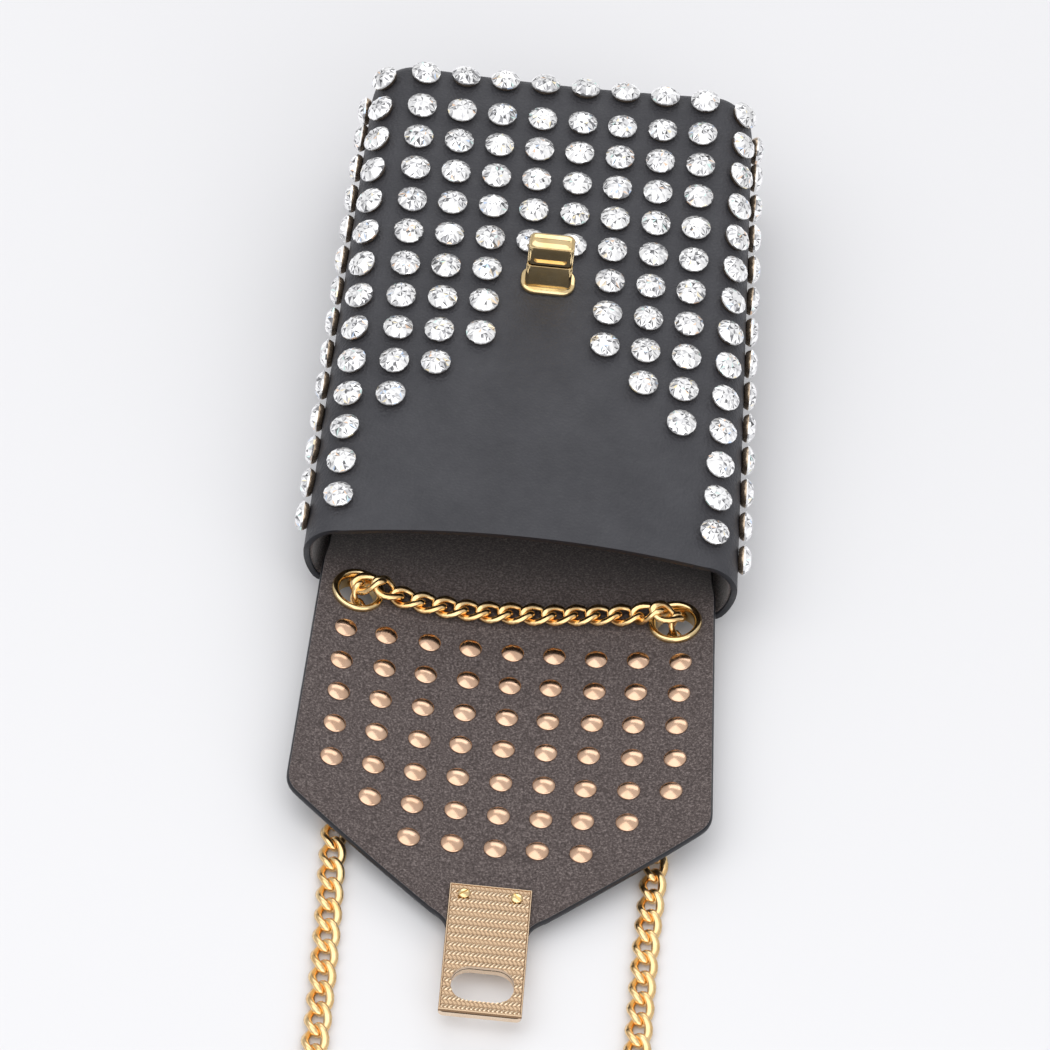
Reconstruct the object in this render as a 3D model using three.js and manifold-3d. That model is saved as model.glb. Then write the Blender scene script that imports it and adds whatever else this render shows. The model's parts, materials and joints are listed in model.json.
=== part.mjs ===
// Studded fold-over phone wallet with a chain strap, lying open on its back.
// Units are millimetres. +X runs across the wallet, +Y from the flap to the base, +Z up.
// The origin is on the back panel's outer flat face, on the centre line.

import * as THREE from 'three';
import { mergeVertices } from 'three/addons/utils/BufferGeometryUtils.js';
import Module from 'manifold-3d';

const wasm = await Module();
wasm.setup();

// ---- driving dimensions ----

// body
const LIP_Y = -83;                 // top edge of the mouth
const BASE_Y = 85;                 // outer face of the base
const HALF_WIDTH_LIP = 59.7;
const HALF_WIDTH_BASE = 54.6;
const HEIGHT_LIP = 34;             // front panel's height on the centre line
const FRONT_SLOPE_LIP = 0.095;     // the front rises towards the base ...
const FRONT_SLOPE_BASE = 0.06;     // ... less steeply there
const CROWN_LIP = 5;               // drop of the front from centre line to corner
const CROWN_BASE = -1.5;           // at the base the middle sags below the corners
const TOP_CORNER_LIP = 10;
const TOP_CORNER_BASE = 12;
const BOTTOM_CORNER = 5.5;
const BOTTOM_CORNER_HEIGHT = 14;
const BASE_ROLL = 9;               // radius between the base and its neighbours
const SHELL_LEATHER = 1.6;
const SHELL_LINING = 0.7;
const BASE_BOARD = 0.8;
const BASE_BOARD_INSET = 14;
const BASE_BOARD_CORNER = 4;
const MOUTH_CORNER = new THREE.Vector2(4, 11); // the mouth's lower corners slope between these heights
const MOUTH_SETBACK = 1.5;         // the shell's lining ends this far inside the mouth

// layers of the back panel, the fold panel and the flap
const SHEET_LEATHER = 1.2;
const SHEET_BOARD = 0.6;
const SHEET_LINING = 0.6;
const GAP = 0.3;                   // clearance between layers and mating pieces
const LIFT = 4;                    // the studs on its outer side hold the flap off the table
const LIFT_START_Y = -48;
const FOLD_Y = -80;                // fold line between back panel and fold panel
const CUP = 5.7;                   // the flap's long edges stand this much higher than its middle
const CUP_EDGE_INSET = 0.3;        // the cup is measured this far inside the flap's corner
const BACK_FOLD_RAMP = 1.4;        // the cup dies out over these lengths beside the fold lines
const FLAP_FOLD_RAMP = 12;

// flap outline
const FLAP_SIDE_INSET = 5.3;       // each side of the fold line from the mouth's side
const FLAP_FLARE = 2.9;            // each side widens by this towards the corner
const FLAP_CORNER_Y = -155;
const FLAP_CORNER_CUT = new THREE.Vector2(3, 7);
const FLAP_WAIST_FLARE = 5;        // the waist from the plate's side
const FLAP_WAIST_Y = -193;
const FLAP_NECK_FLARE = 0.2;
const FLAP_NECK_Y = -198.5;
const TONGUE_SIDE_GAP = 0.7;       // tongue to the lock frame's walls
const TONGUE_END_GAP = 0.6;        // tongue to the pocket's end
const POCKET_TO_SLOT = 3.9;
const BOARD_MARGIN = 6;

// flap lock plates
const PLATE_WIDTH = 22;
const PLATE_TOP_Y = -185;
const PLATE_END_Y = -227.5;
const PLATE_CORNER = 1.5;
const PLATE_SEAT = 0.0877;         // inner plate over the lining along its long edges
const INNER_PLATE = 1;
const OUTER_FRAME = 1.5;
const FRAME_WALL = 1.1;
const FRAME_SLOT_PART = 1.5;       // thickness of the frame's end round the slot
const SLOT_Y = -218.2;
const SLOT_CORNER = 5;
const SLOT_SIDE_GAP = 0.6;         // slot to the lock's flange
const SLOT_END_GAP = 0.9;
const SCREW_INSET = new THREE.Vector2(4, 3.4);
const SCREW_SHANK_R = 0.9;
const SCREW_HEAD_R = 1.6;
const SCREW_HEAD = 0.8;

// turn lock on the front
const LOCK_Y = 6;
const FLANGE = new THREE.Vector3(15.4, 9.6, 1.2);
const BOSS = new THREE.Vector3(12.9, 6.2, 8.9);
const HEAD = new THREE.Vector3(12.9, 5.8, 8.3);
const KNOB_SHAFT_R = 1.8;
const KNOB_CLEARANCE = 0.4;
const WASHER = new THREE.Vector3(15, 10, 0.8);
const CLIP_R = 3.6;
const CLIP = 1;
const CLIP_FIT = 0.05;
const CLOSED_GAP = 3.4;            // front surface to the closed flap's lining, at the lock

// eyelets
const EYELET_X = 43.7;
const EYELET_SETBACK = 1;          // flange to the fold line
const EYELET_HOLE_R = 5.3;
const EYELET_BARREL = 0.6;
const EYELET_FLANGE_REACH = 1.7;   // flange and set washer beyond the hole
const EYELET_FLANGE = 1.2;
const EYELET_BEVEL = new THREE.Vector2(0.7, 0.6);
const EYELET_EASE = new THREE.Vector2(0.3, 0.5);
const SET_WASHER_REACH = 1.2;
const SET_WASHER = 0.7;

// chain strap
const CHAIN_WIDTH = 7.4;
const CHAIN_THICK = 3.2;
const COIL_CENTRE_Y = -310;
const COIL_INNER_R = 30;
const COIL_OUTER_R = 54;
const COIL_HEIGHT = 8;

// ---- derived sizes ----

const BODY_LENGTH = BASE_Y - LIP_Y;
const FLAP_HALF_WIDTH_FOLD = HALF_WIDTH_LIP - FLAP_SIDE_INSET;
const FLAP_HALF_WIDTH_CORNER = FLAP_HALF_WIDTH_FOLD + FLAP_FLARE;
const CUP_HALF_WIDTH = FLAP_HALF_WIDTH_CORNER - CUP_EDGE_INSET;
const FLAP_SHOULDER = new THREE.Vector2(FLAP_HALF_WIDTH_CORNER, FLAP_CORNER_Y).sub(FLAP_CORNER_CUT);
const FLAP_WAIST = new THREE.Vector2(PLATE_WIDTH / 2 + FLAP_WAIST_FLARE, FLAP_WAIST_Y);
const FLAP_NECK = new THREE.Vector2(PLATE_WIDTH / 2 + FLAP_NECK_FLARE, FLAP_NECK_Y);
const SLOT_LENGTH = FLANGE.x + 2 * SLOT_SIDE_GAP;
const SLOT_WIDTH = FLANGE.y + 2 * SLOT_END_GAP;
const TONGUE_HALF_WIDTH = PLATE_WIDTH / 2 - FRAME_WALL - TONGUE_SIDE_GAP;
const POCKET_END_Y = SLOT_Y + SLOT_WIDTH / 2 + POCKET_TO_SLOT;
const TONGUE_END_Y = POCKET_END_Y + TONGUE_END_GAP;
const SCREW_X = PLATE_WIDTH / 2 - SCREW_INSET.x;
const SCREW_Y = PLATE_TOP_Y - SCREW_INSET.y;
const EYELET_FLANGE_R = EYELET_HOLE_R + EYELET_FLANGE_REACH;
const SET_WASHER_R = EYELET_HOLE_R + SET_WASHER_REACH;
const EYELET_Y = FOLD_Y - EYELET_SETBACK - EYELET_FLANGE_R;
const SHEET = SHEET_LEATHER + SHEET_BOARD + SHEET_LINING + 2 * GAP;
const LINING_Z = LIFT + SHEET;     // lining surface of the flap's middle
const BOARD_Z = SHEET_LEATHER + GAP;
const LINING_START = SHEET - SHEET_LINING;
const LOCK_HEIGHT = frontHeight(LOCK_Y);
const LOCK_SLOPE = Math.atan(frontSlope(LOCK_Y));

// The fold panel's length brings the flap's slot onto the turn lock when both folds close.
const FOLD_LENGTH = foldLength();
const FLAP_FOLD_Y = FOLD_Y - FOLD_LENGTH;

function foldLength() {
  const along = new THREE.Vector2(Math.cos(LOCK_SLOPE), Math.sin(LOCK_SLOPE));
  const out = new THREE.Vector2(-along.y, along.x);
  const slotClosed = new THREE.Vector2(LOCK_Y, LOCK_HEIGHT).addScaledVector(out, CLOSED_GAP);
  const reach = slotClosed.addScaledVector(along, SLOT_Y - FOLD_Y);
  reach.sub(new THREE.Vector2(FOLD_Y, LINING_Z));
  return -reach.lengthSq() / (2 * reach.dot(along));
}

function frontHeight(y) {
  const s = y - LIP_Y;
  const bend = (FRONT_SLOPE_LIP - FRONT_SLOPE_BASE) / (2 * BODY_LENGTH);
  return HEIGHT_LIP + FRONT_SLOPE_LIP * s - bend * s * s;
}

function frontSlope(y) {
  const part = (y - LIP_Y) / BODY_LENGTH;
  return THREE.MathUtils.lerp(FRONT_SLOPE_LIP, FRONT_SLOPE_BASE, part);
}

function bodyLerp(y, atLip, atBase) {
  return THREE.MathUtils.lerp(atLip, atBase, (y - LIP_Y) / BODY_LENGTH);
}

function liftAt(y) {
  return LIFT * THREE.MathUtils.smoothstep(LIFT_START_Y - y, 0, LIFT_START_Y - FOLD_Y);
}

// ---- mesh helpers ----

function buildGeometry(positions, index) {
  const geometry = new THREE.BufferGeometry();
  geometry.setAttribute('position', new THREE.Float32BufferAttribute(positions, 3));
  geometry.setIndex(index);
  return outward(geometry);
}

// Turns the faces outwards where the signed volume is negative.
function outward(geometry) {
  const position = geometry.getAttribute('position');
  const index = geometry.getIndex().array;
  const corners = [new THREE.Vector3(), new THREE.Vector3(), new THREE.Vector3()];
  let volume = 0;
  for (let i = 0; i < index.length; i += 3) {
    corners.forEach((corner, k) => corner.fromBufferAttribute(position, index[i + k]));
    volume += corners[0].dot(corners[1].clone().cross(corners[2]));
  }
  if (volume < 0) {
    for (let i = 0; i < index.length; i += 3) {
      [index[i], index[i + 1]] = [index[i + 1], index[i]];
    }
  }
  return geometry;
}

// A closed skin over a row of closed rings, with a fan over each end.
function loft(rings) {
  const count = rings[0].length;
  const positions = rings.flat().flatMap((p) => [p.x, p.y, p.z]);
  const index = [];
  for (let r = 0; r + 1 < rings.length; r++) {
    for (let i = 0; i < count; i++) {
      const j = (i + 1) % count;
      const a = r * count + i;
      const b = r * count + j;
      index.push(a, b, a + count, b, b + count, a + count);
    }
  }
  for (const end of [0, rings.length - 1]) {
    const centre = rings[end].reduce((sum, p) => sum.add(p), new THREE.Vector3());
    centre.divideScalar(count);
    positions.push(centre.x, centre.y, centre.z);
    const hub = positions.length / 3 - 1;
    for (let i = 0; i < count; i++) {
      const a = end * count + i;
      const b = end * count + ((i + 1) % count);
      index.push(...(end === 0 ? [hub, b, a] : [hub, a, b]));
    }
  }
  return buildGeometry(positions, index);
}

// A sheet of even thickness, given row by row along Y, with its underside from baseZ(x, y).
function sheet(rows, halfWidth, columns, baseZ, low, high) {
  const positions = [];
  for (const offset of [low, high]) {
    for (const y of rows) {
      for (let i = 0; i <= columns; i++) {
        const x = halfWidth(y) * (2 * i / columns - 1);
        positions.push(x, y, baseZ(x, y) + offset);
      }
    }
  }
  const across = columns + 1;
  const layer = rows.length * across;
  const index = [];
  const quad = (a, b, c, d) => index.push(a, b, c, a, c, d);
  for (let r = 0; r + 1 < rows.length; r++) {
    for (let i = 0; i < columns; i++) {
      const a = r * across + i;
      quad(a, a + across, a + across + 1, a + 1);
      quad(layer + a, layer + a + 1, layer + a + across + 1, layer + a + across);
    }
    const left = r * across;
    const right = left + columns;
    quad(left, layer + left, layer + left + across, left + across);
    quad(right, right + across, layer + right + across, layer + right);
  }
  const last = (rows.length - 1) * across;
  for (let i = 0; i < columns; i++) {
    quad(i, i + 1, layer + i + 1, layer + i);
    quad(last + i, layer + last + i, layer + last + i + 1, last + i + 1);
  }
  return buildGeometry(positions, index);
}

function rowsBetween(from, to, count) {
  return Array.from({ length: count + 1 }, (_, i) => THREE.MathUtils.lerp(from, to, i / count));
}

function toManifold(geometry) {
  const bare = geometry.clone();
  bare.deleteAttribute('normal');
  bare.deleteAttribute('uv');
  const merged = mergeVertices(bare, 1e-4);
  return new wasm.Manifold(new wasm.Mesh({
    numProp: 3,
    vertProperties: new Float32Array(merged.getAttribute('position').array),
    triVerts: new Uint32Array(merged.getIndex().array),
  }));
}

function fromManifold(solid) {
  const mesh = solid.getMesh();
  const geometry = new THREE.BufferGeometry();
  geometry.setAttribute('position', new THREE.Float32BufferAttribute(mesh.vertProperties, 3));
  geometry.setIndex([...mesh.triVerts]);
  return geometry;
}

function cut(geometry, ...tools) {
  let solid = toManifold(geometry);
  tools.forEach((tool) => { solid = solid.subtract(toManifold(tool)); });
  return fromManifold(solid);
}

function join(geometry, ...others) {
  let solid = toManifold(geometry);
  others.forEach((other) => { solid = solid.add(toManifold(other)); });
  return fromManifold(solid);
}

// A round bar along Z from low to high.
function bar(radius, low, high, sides = 16) {
  const geometry = new THREE.CylinderGeometry(radius, radius, high - low, sides);
  geometry.rotateX(Math.PI / 2);
  geometry.translate(0, 0, (low + high) / 2);
  return geometry;
}

// A ring turned about Z from a closed [radius, height] profile.
function turned(profile, sides) {
  const points = [...profile, profile[0]].map(([r, z]) => new THREE.Vector2(r, z));
  const geometry = new THREE.LatheGeometry(points, sides);
  geometry.rotateX(Math.PI / 2);
  geometry.deleteAttribute('normal');
  geometry.deleteAttribute('uv');
  return outward(mergeVertices(geometry, 1e-4));
}

function roundedOutline(width, depth, radius) {
  const x = width / 2 - radius;
  const y = depth / 2 - radius;
  const shape = new THREE.Shape();
  shape.absarc(x, y, radius, 0, Math.PI / 2);
  shape.absarc(-x, y, radius, Math.PI / 2, Math.PI);
  shape.absarc(-x, -y, radius, Math.PI, 1.5 * Math.PI);
  shape.absarc(x, -y, radius, 1.5 * Math.PI, 2 * Math.PI);
  return shape;
}

function slab(shape, low, high, curveSegments = 4) {
  const options = { depth: high - low, bevelEnabled: false, curveSegments };
  const geometry = new THREE.ExtrudeGeometry(shape, options);
  geometry.translate(0, 0, low);
  return geometry;
}

// Turns a slab whose outline is in Y and Z, and whose depth is along X, into place.
function acrossX(geometry) {
  const turn = new THREE.Matrix4().set(0, 0, 1, 0, 1, 0, 0, 0, 0, 1, 0, 0, 0, 0, 0, 1);
  return geometry.applyMatrix4(turn);
}

function roundedBlock(width, depth, radius, low, high) {
  return slab(roundedOutline(width, depth, radius), low, high);
}

// ---- materials ----

function material(color, roughness, metalness = 0) {
  return new THREE.MeshStandardMaterial({ color, roughness, metalness });
}

const leather = material(0x3e3e42, 0.55);
const suede = material(0x544c4a, 0.9);
const board = material(0x8f8270, 0.95);
const brass = material(0xc9a04a, 0.25, 1);
const champagne = material(0xc8ad84, 0.32, 1);
const steel = material(0x9a9a98, 0.35, 1);

const wallet = new THREE.Group();
wallet.name = 'chain_wallet';

function place(name, geometry, surface, parent = wallet) {
  const mesh = new THREE.Mesh(geometry, surface);
  mesh.name = name;
  parent.add(mesh);
  return mesh;
}

// ---- body: front shell, back panel and their linings ----

// One closed cross-section of the body at y, moved inwards by inset.
function section(y, inset) {
  const halfWidth = bodyLerp(y, HALF_WIDTH_LIP, HALF_WIDTH_BASE) - inset;
  const top = frontHeight(y) - inset;
  const bottom = liftAt(y) + inset;
  const corner = Math.max(bodyLerp(y, TOP_CORNER_LIP, TOP_CORNER_BASE) - inset, 1);
  const foot = Math.max(BOTTOM_CORNER - inset, 1);
  const footHeight = Math.max(BOTTOM_CORNER_HEIGHT - inset, 1);
  const crown = bodyLerp(y, CROWN_LIP, CROWN_BASE);
  const flat = halfWidth - corner;
  const half = [];
  const steps = 5;
  for (let i = 0; i <= steps; i++) {
    const turn = (i / steps) * Math.PI / 2;
    const x = halfWidth - foot * (1 - Math.sin(turn));
    half.push([x, bottom + footHeight * (1 - Math.cos(turn))]);
  }
  for (let i = 0; i <= steps; i++) {
    const turn = (i / steps) * Math.PI / 2;
    const x = flat + corner * Math.cos(turn);
    half.push([x, top - crown - corner * (1 - Math.sin(turn))]);
  }
  for (const share of [0.66, 0.33]) {
    half.push([flat * share, top - crown * share * share]);
  }
  const right = half.map(([x, z]) => new THREE.Vector3(x, y, z));
  const left = half.map(([x, z]) => new THREE.Vector3(-x, y, z)).reverse();
  return [...right, new THREE.Vector3(0, y, top), ...left];
}

// The body's outer form from startY to the base, moved inwards by inset.
function bodyForm(startY, inset) {
  const rollY = BASE_Y - BASE_ROLL;
  const roll = BASE_ROLL - inset;
  const rings = rowsBetween(startY, rollY, 8).map((y) => section(y, inset));
  const rollSteps = 4;
  for (let i = 1; i <= rollSteps; i++) {
    const turn = (i / rollSteps) * Math.PI / 2;
    const y = rollY + roll * Math.sin(turn);
    const ring = section(y, inset + roll * (1 - Math.cos(turn)));
    rings.push(ring);
  }
  return loft(rings);
}

const BACK_END_Y = BASE_Y - BASE_ROLL;
const PAST = 6;                    // how far cutting forms run past what they cut

function backHalfWidth(y) {
  return bodyLerp(y, HALF_WIDTH_LIP, HALF_WIDTH_BASE) - BOTTOM_CORNER;
}

const backRows = [BACK_END_Y, ...rowsBetween(LIFT_START_Y, FOLD_Y + GAP / 2, 6)];
const backLift = (x, y) => liftAt(y);

function backSheet(low, high, margin = 0) {
  const rows = [...backRows];
  rows[0] -= GAP + margin;
  return sheet(rows, (y) => backHalfWidth(y) - GAP - margin, 2, backLift, low, high);
}

// The room that the back panel takes out of the shell, and the slope of the mouth's lower corners.
function backCutter(height) {
  const rows = [...backRows, LIP_Y - PAST];
  return sheet(rows, backHalfWidth, 2, backLift, -PAST, height);
}

function mouthCutter(setback) {
  const footY = FOLD_Y + GAP + setback;
  const outline = new THREE.Shape([
    new THREE.Vector2(LIP_Y - PAST, -PAST),
    new THREE.Vector2(footY, -PAST),
    new THREE.Vector2(footY, LINING_Z + MOUTH_CORNER.x),
    new THREE.Vector2(LIP_Y, LINING_Z + MOUTH_CORNER.y),
    new THREE.Vector2(LIP_Y - PAST, LINING_Z + MOUTH_CORNER.y),
  ]);
  return acrossX(slab(outline, -HALF_WIDTH_LIP - PAST, HALF_WIDTH_LIP + PAST));
}

function lockMatrix() {
  const matrix = new THREE.Matrix4().makeRotationX(LOCK_SLOPE);
  return matrix.setPosition(0, LOCK_Y, LOCK_HEIGHT);
}

function lockHole() {
  const depth = SHELL_LEATHER + SHELL_LINING + PAST;
  return bar(KNOB_SHAFT_R + KNOB_CLEARANCE, -depth, PAST).applyMatrix4(lockMatrix());
}

// The layer is open over the back panel, and over its own floor where that lies higher.
function shellLayer(inset, thickness, mouthSetback) {
  const form = bodyForm(LIP_Y + mouthSetback, inset);
  const inside = bodyForm(LIP_Y - PAST, inset + thickness);
  const open = backCutter(Math.max(SHEET, inset + thickness) + GAP);
  return cut(form, inside, open, mouthCutter(mouthSetback), lockHole());
}

const LINING_INSET = SHELL_LEATHER + BASE_BOARD + 2 * GAP;

function buildBody() {
  place('front_shell', shellLayer(0, SHELL_LEATHER, 0), leather);
  place('shell_lining', shellLayer(LINING_INSET, SHELL_LINING, MOUTH_SETBACK), suede);
  place('back_panel', backSheet(0, SHEET_LEATHER), leather);
  place('back_board', backSheet(BOARD_Z, BOARD_Z + SHEET_BOARD, BOARD_MARGIN), board);
  place('back_lining', backSheet(LINING_START, SHEET), suede);

  const height = frontHeight(BASE_Y) - 2 * BASE_BOARD_INSET;
  const width = 2 * (HALF_WIDTH_BASE - BASE_BOARD_INSET);
  const stiffener = roundedBlock(width, height, BASE_BOARD_CORNER, 0, BASE_BOARD);
  stiffener.rotateX(Math.PI / 2);
  stiffener.translate(0, BASE_Y - SHELL_LEATHER - GAP, frontHeight(BASE_Y) / 2);
  place('base_board', stiffener, board);
}

// ---- turn lock on the front ----

function buildTurnLock() {
  const lock = new THREE.Group();
  lockMatrix().decompose(lock.position, lock.quaternion, lock.scale);
  wallet.add(lock);
  const flangeTop = GAP + FLANGE.z;
  const bossTop = flangeTop + BOSS.z;
  const liningFoot = -(LINING_INSET + SHELL_LINING);
  const washerTop = liningFoot - GAP;
  const washerFoot = washerTop - WASHER.z;
  const bore = bar(KNOB_SHAFT_R + KNOB_CLEARANCE, washerFoot - PAST, bossTop + PAST);
  const flange = roundedBlock(FLANGE.x, FLANGE.y, 2, GAP, flangeTop);
  const boss = roundedBlock(BOSS.x, BOSS.y, 1.2, GAP, bossTop);
  place('lock_base', cut(join(flange, boss), bore), brass, lock);

  const clipTop = washerFoot - GAP;
  const shaftEnd = clipTop - CLIP - GAP;
  const headLow = bossTop + GAP;
  const head = roundedBlock(HEAD.x, HEAD.y, 1.6, headLow, headLow + HEAD.z);
  place('turn_knob', join(head, bar(KNOB_SHAFT_R, shaftEnd, headLow + 1)), brass, lock);

  const washer = roundedBlock(WASHER.x, WASHER.y, 2, washerFoot, washerTop);
  place('lock_washer', cut(washer, bore), steel, lock);
  const innerR = KNOB_SHAFT_R + CLIP_FIT;
  const low = clipTop - CLIP;
  const ring = [[innerR, low], [CLIP_R, low], [CLIP_R, clipTop], [innerR, clipTop]];
  place('knob_clip', turned(ring, 16), steel, lock);
}

// ---- fold panel with the eyelets ----

// Share of the cup at y: none on the two fold lines, all of it away from them.
function cupShare(y) {
  const fromBackFold = THREE.MathUtils.smoothstep(FOLD_Y - y, 0, BACK_FOLD_RAMP);
  const fromFlapFold = THREE.MathUtils.smoothstep(Math.abs(y - FLAP_FOLD_Y), 0, FLAP_FOLD_RAMP);
  return fromBackFold * fromFlapFold;
}

function cupHeight(x, y) {
  return CUP * (x / CUP_HALF_WIDTH) ** 2 * cupShare(y);
}

const cupped = (x, y) => LIFT + cupHeight(x, y);

const flapEdgeRate = (FLAP_HALF_WIDTH_CORNER - FLAP_HALF_WIDTH_FOLD) / (FOLD_Y - FLAP_CORNER_Y);

function eyeletMatrix(side) {
  const x = side * EYELET_X;
  const tilt = Math.atan(2 * CUP * x / CUP_HALF_WIDTH ** 2);
  const matrix = new THREE.Matrix4().makeRotationY(-tilt);
  const height = CUP * (x / CUP_HALF_WIDTH) ** 2;
  return matrix.setPosition(x, EYELET_Y, LINING_Z + height);
}

function foldLayer(low, high) {
  const start = FOLD_Y - GAP / 2;
  const end = FLAP_FOLD_Y + GAP / 2;
  const rampEnd = FLAP_FOLD_Y + FLAP_FOLD_RAMP;
  const rows = [start, FOLD_Y - BACK_FOLD_RAMP, EYELET_Y, ...rowsBetween(rampEnd, end, 3)];
  const edge = (y) => FLAP_HALF_WIDTH_FOLD + flapEdgeRate * (FOLD_Y - y);
  const form = sheet(rows, edge, 10, cupped, low, high);
  const holeR = EYELET_HOLE_R + EYELET_BARREL + GAP;
  const holes = [-1, 1].map((side) => {
    return bar(holeR, -2 * PAST, PAST, 24).applyMatrix4(eyeletMatrix(side));
  });
  return cut(form, ...holes);
}

function buildFoldPanel() {
  place('fold_leather', foldLayer(0, SHEET_LEATHER), leather);
  place('fold_lining', foldLayer(BOARD_Z, SHEET), suede);
  const barrelR = EYELET_HOLE_R + EYELET_BARREL;
  const foot = -(SHEET + GAP + SET_WASHER + GAP);
  const rim = GAP + EYELET_FLANGE;
  const profile = [
    [EYELET_HOLE_R, foot], [barrelR, foot], [barrelR, GAP], [EYELET_FLANGE_R, GAP],
    [EYELET_FLANGE_R, rim - EYELET_BEVEL.y], [EYELET_FLANGE_R - EYELET_BEVEL.x, rim],
    [EYELET_HOLE_R + EYELET_EASE.x, rim], [EYELET_HOLE_R, rim - EYELET_EASE.y],
  ];
  const washerR = barrelR + GAP / 2;
  const washerTop = -(SHEET + GAP);
  const washerFoot = washerTop - SET_WASHER;
  const washer = [
    [washerR, washerFoot], [SET_WASHER_R, washerFoot],
    [SET_WASHER_R, washerTop], [washerR, washerTop],
  ];
  for (const [name, side] of [['left', -1], ['right', 1]]) {
    const seat = new THREE.Group();
    eyeletMatrix(side).decompose(seat.position, seat.quaternion, seat.scale);
    wallet.add(seat);
    place(`eyelet_${name}`, turned(profile, 24), brass, seat);
    place(`eyelet_washer_${name}`, turned(washer, 24), brass, seat);
  }
}

// ---- flap with its lock plates ----

function flapHalfWidth(y) {
  if (y > FLAP_CORNER_Y) {
    return FLAP_HALF_WIDTH_FOLD + flapEdgeRate * (FOLD_Y - y);
  }
  if (y > FLAP_SHOULDER.y) {
    const part = (FLAP_CORNER_Y - y) / (FLAP_CORNER_Y - FLAP_SHOULDER.y);
    return FLAP_HALF_WIDTH_CORNER - (FLAP_HALF_WIDTH_CORNER - FLAP_SHOULDER.x) * part ** 3;
  }
  if (y > FLAP_WAIST.y) {
    const part = (FLAP_SHOULDER.y - y) / (FLAP_SHOULDER.y - FLAP_WAIST.y);
    return THREE.MathUtils.lerp(FLAP_SHOULDER.x, FLAP_WAIST.x, part);
  }
  if (y > FLAP_NECK.y) {
    const part = (FLAP_WAIST.y - y) / (FLAP_WAIST.y - FLAP_NECK.y);
    return FLAP_NECK.x + (FLAP_WAIST.x - FLAP_NECK.x) * (1 - part) ** 2;
  }
  return TONGUE_HALF_WIDTH;
}

const flapRows = [
  ...rowsBetween(FLAP_FOLD_Y - GAP / 2, FLAP_FOLD_Y - FLAP_FOLD_RAMP, 3),
  FLAP_CORNER_Y + 0.1, FLAP_CORNER_Y - 3, FLAP_CORNER_Y - 5, FLAP_SHOULDER.y + 0.1,
  (FLAP_SHOULDER.y + FLAP_WAIST.y) / 2,
  FLAP_WAIST.y + 0.1, FLAP_WAIST.y - 2, FLAP_NECK.y + 0.1, FLAP_NECK.y - 0.2, TONGUE_END_Y,
];

function screwHoles() {
  return [-1, 1].map((side) => {
    const hole = bar(SCREW_SHANK_R + GAP, 0, 3 * LINING_Z, 12);
    return hole.translate(side * SCREW_X, SCREW_Y, 0);
  });
}

function buildFlap() {
  const layer = (low, high) => {
    return cut(sheet(flapRows, flapHalfWidth, 10, cupped, low, high), ...screwHoles());
  };
  place('flap_leather', layer(0, SHEET_LEATHER), leather);
  place('flap_lining', layer(LINING_START, SHEET), suede);
  const last = FLAP_WAIST.y + 10;
  const rows = flapRows.filter((y) => y < FLAP_FOLD_Y - 1 && y > last);
  rows.push(last);
  const inner = (y) => flapHalfWidth(y) - BOARD_MARGIN;
  const stiffener = sheet(rows, inner, 8, cupped, BOARD_Z, BOARD_Z + SHEET_BOARD);
  place('flap_board', cut(stiffener, ...screwHoles()), board);
}

// The room under the frame's thin end, with a slope up to it from the pocket's floor.
function underEnd(low) {
  const slopeY = POCKET_END_Y - 2 * FRAME_WALL - GAP;
  const outline = new THREE.Shape([
    new THREE.Vector2(PLATE_END_Y - PAST, low),
    new THREE.Vector2(PLATE_END_Y - PAST, -PAST),
    new THREE.Vector2(slopeY + low + PAST, -PAST),
    new THREE.Vector2(slopeY, low),
  ]);
  return acrossX(slab(outline, -PLATE_WIDTH, PLATE_WIDTH));
}

function buildLockPlates() {
  const length = PLATE_TOP_Y - PLATE_END_Y;
  const centreY = (PLATE_TOP_Y + PLATE_END_Y) / 2;
  const plate = (low, high) => {
    return roundedBlock(PLATE_WIDTH, length, PLATE_CORNER, low, high).translate(0, centreY, 0);
  };
  const innerLow = LINING_Z + CUP * (PLATE_WIDTH / 2 / CUP_HALF_WIDTH) ** 2 + PLATE_SEAT;
  const innerTop = innerLow + INNER_PLATE;
  const slotShape = roundedOutline(SLOT_LENGTH, SLOT_WIDTH, SLOT_CORNER);
  const through = slab(slotShape, -PAST, innerTop + PAST, 8).translate(0, SLOT_Y, 0);
  place('lock_plate', cut(plate(innerLow, innerTop), through, ...screwHoles()), champagne);

  const frameTop = LIFT - GAP;
  const pocket = roundedBlock(PLATE_WIDTH - 2 * FRAME_WALL, length, 0.5, frameTop, LINING_Z + PAST);
  pocket.translate(0, POCKET_END_Y + length / 2, 0);
  const neck = roundedBlock(2 * PLATE_WIDTH, length, 0.5, frameTop, LINING_Z + PAST);
  neck.translate(0, FLAP_NECK.y - GAP + length / 2, 0);
  const block = plate(frameTop - OUTER_FRAME, LINING_Z);
  const under = underEnd(LINING_Z - FRAME_SLOT_PART);
  place('lock_frame', cut(block, pocket, neck, under, through), champagne);

  for (const [name, side] of [['left', -1], ['right', 1]]) {
    const shank = bar(SCREW_SHANK_R, frameTop + GAP, innerTop + GAP + 0.2, 12);
    const head = bar(SCREW_HEAD_R, innerTop + GAP, innerTop + GAP + SCREW_HEAD, 12);
    const screw = place(`plate_screw_${name}`, join(head, shank), champagne);
    screw.position.set(side * SCREW_X, SCREW_Y, 0);
  }
}

// ---- chain strap ----

const chainSection = new THREE.Shape(Array.from({ length: 8 }, (_, i) => {
  const turn = (i + 0.5) * Math.PI / 4;
  return new THREE.Vector2(CHAIN_WIDTH / 2 * Math.cos(turn), CHAIN_THICK / 2 * Math.sin(turn));
}));

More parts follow.
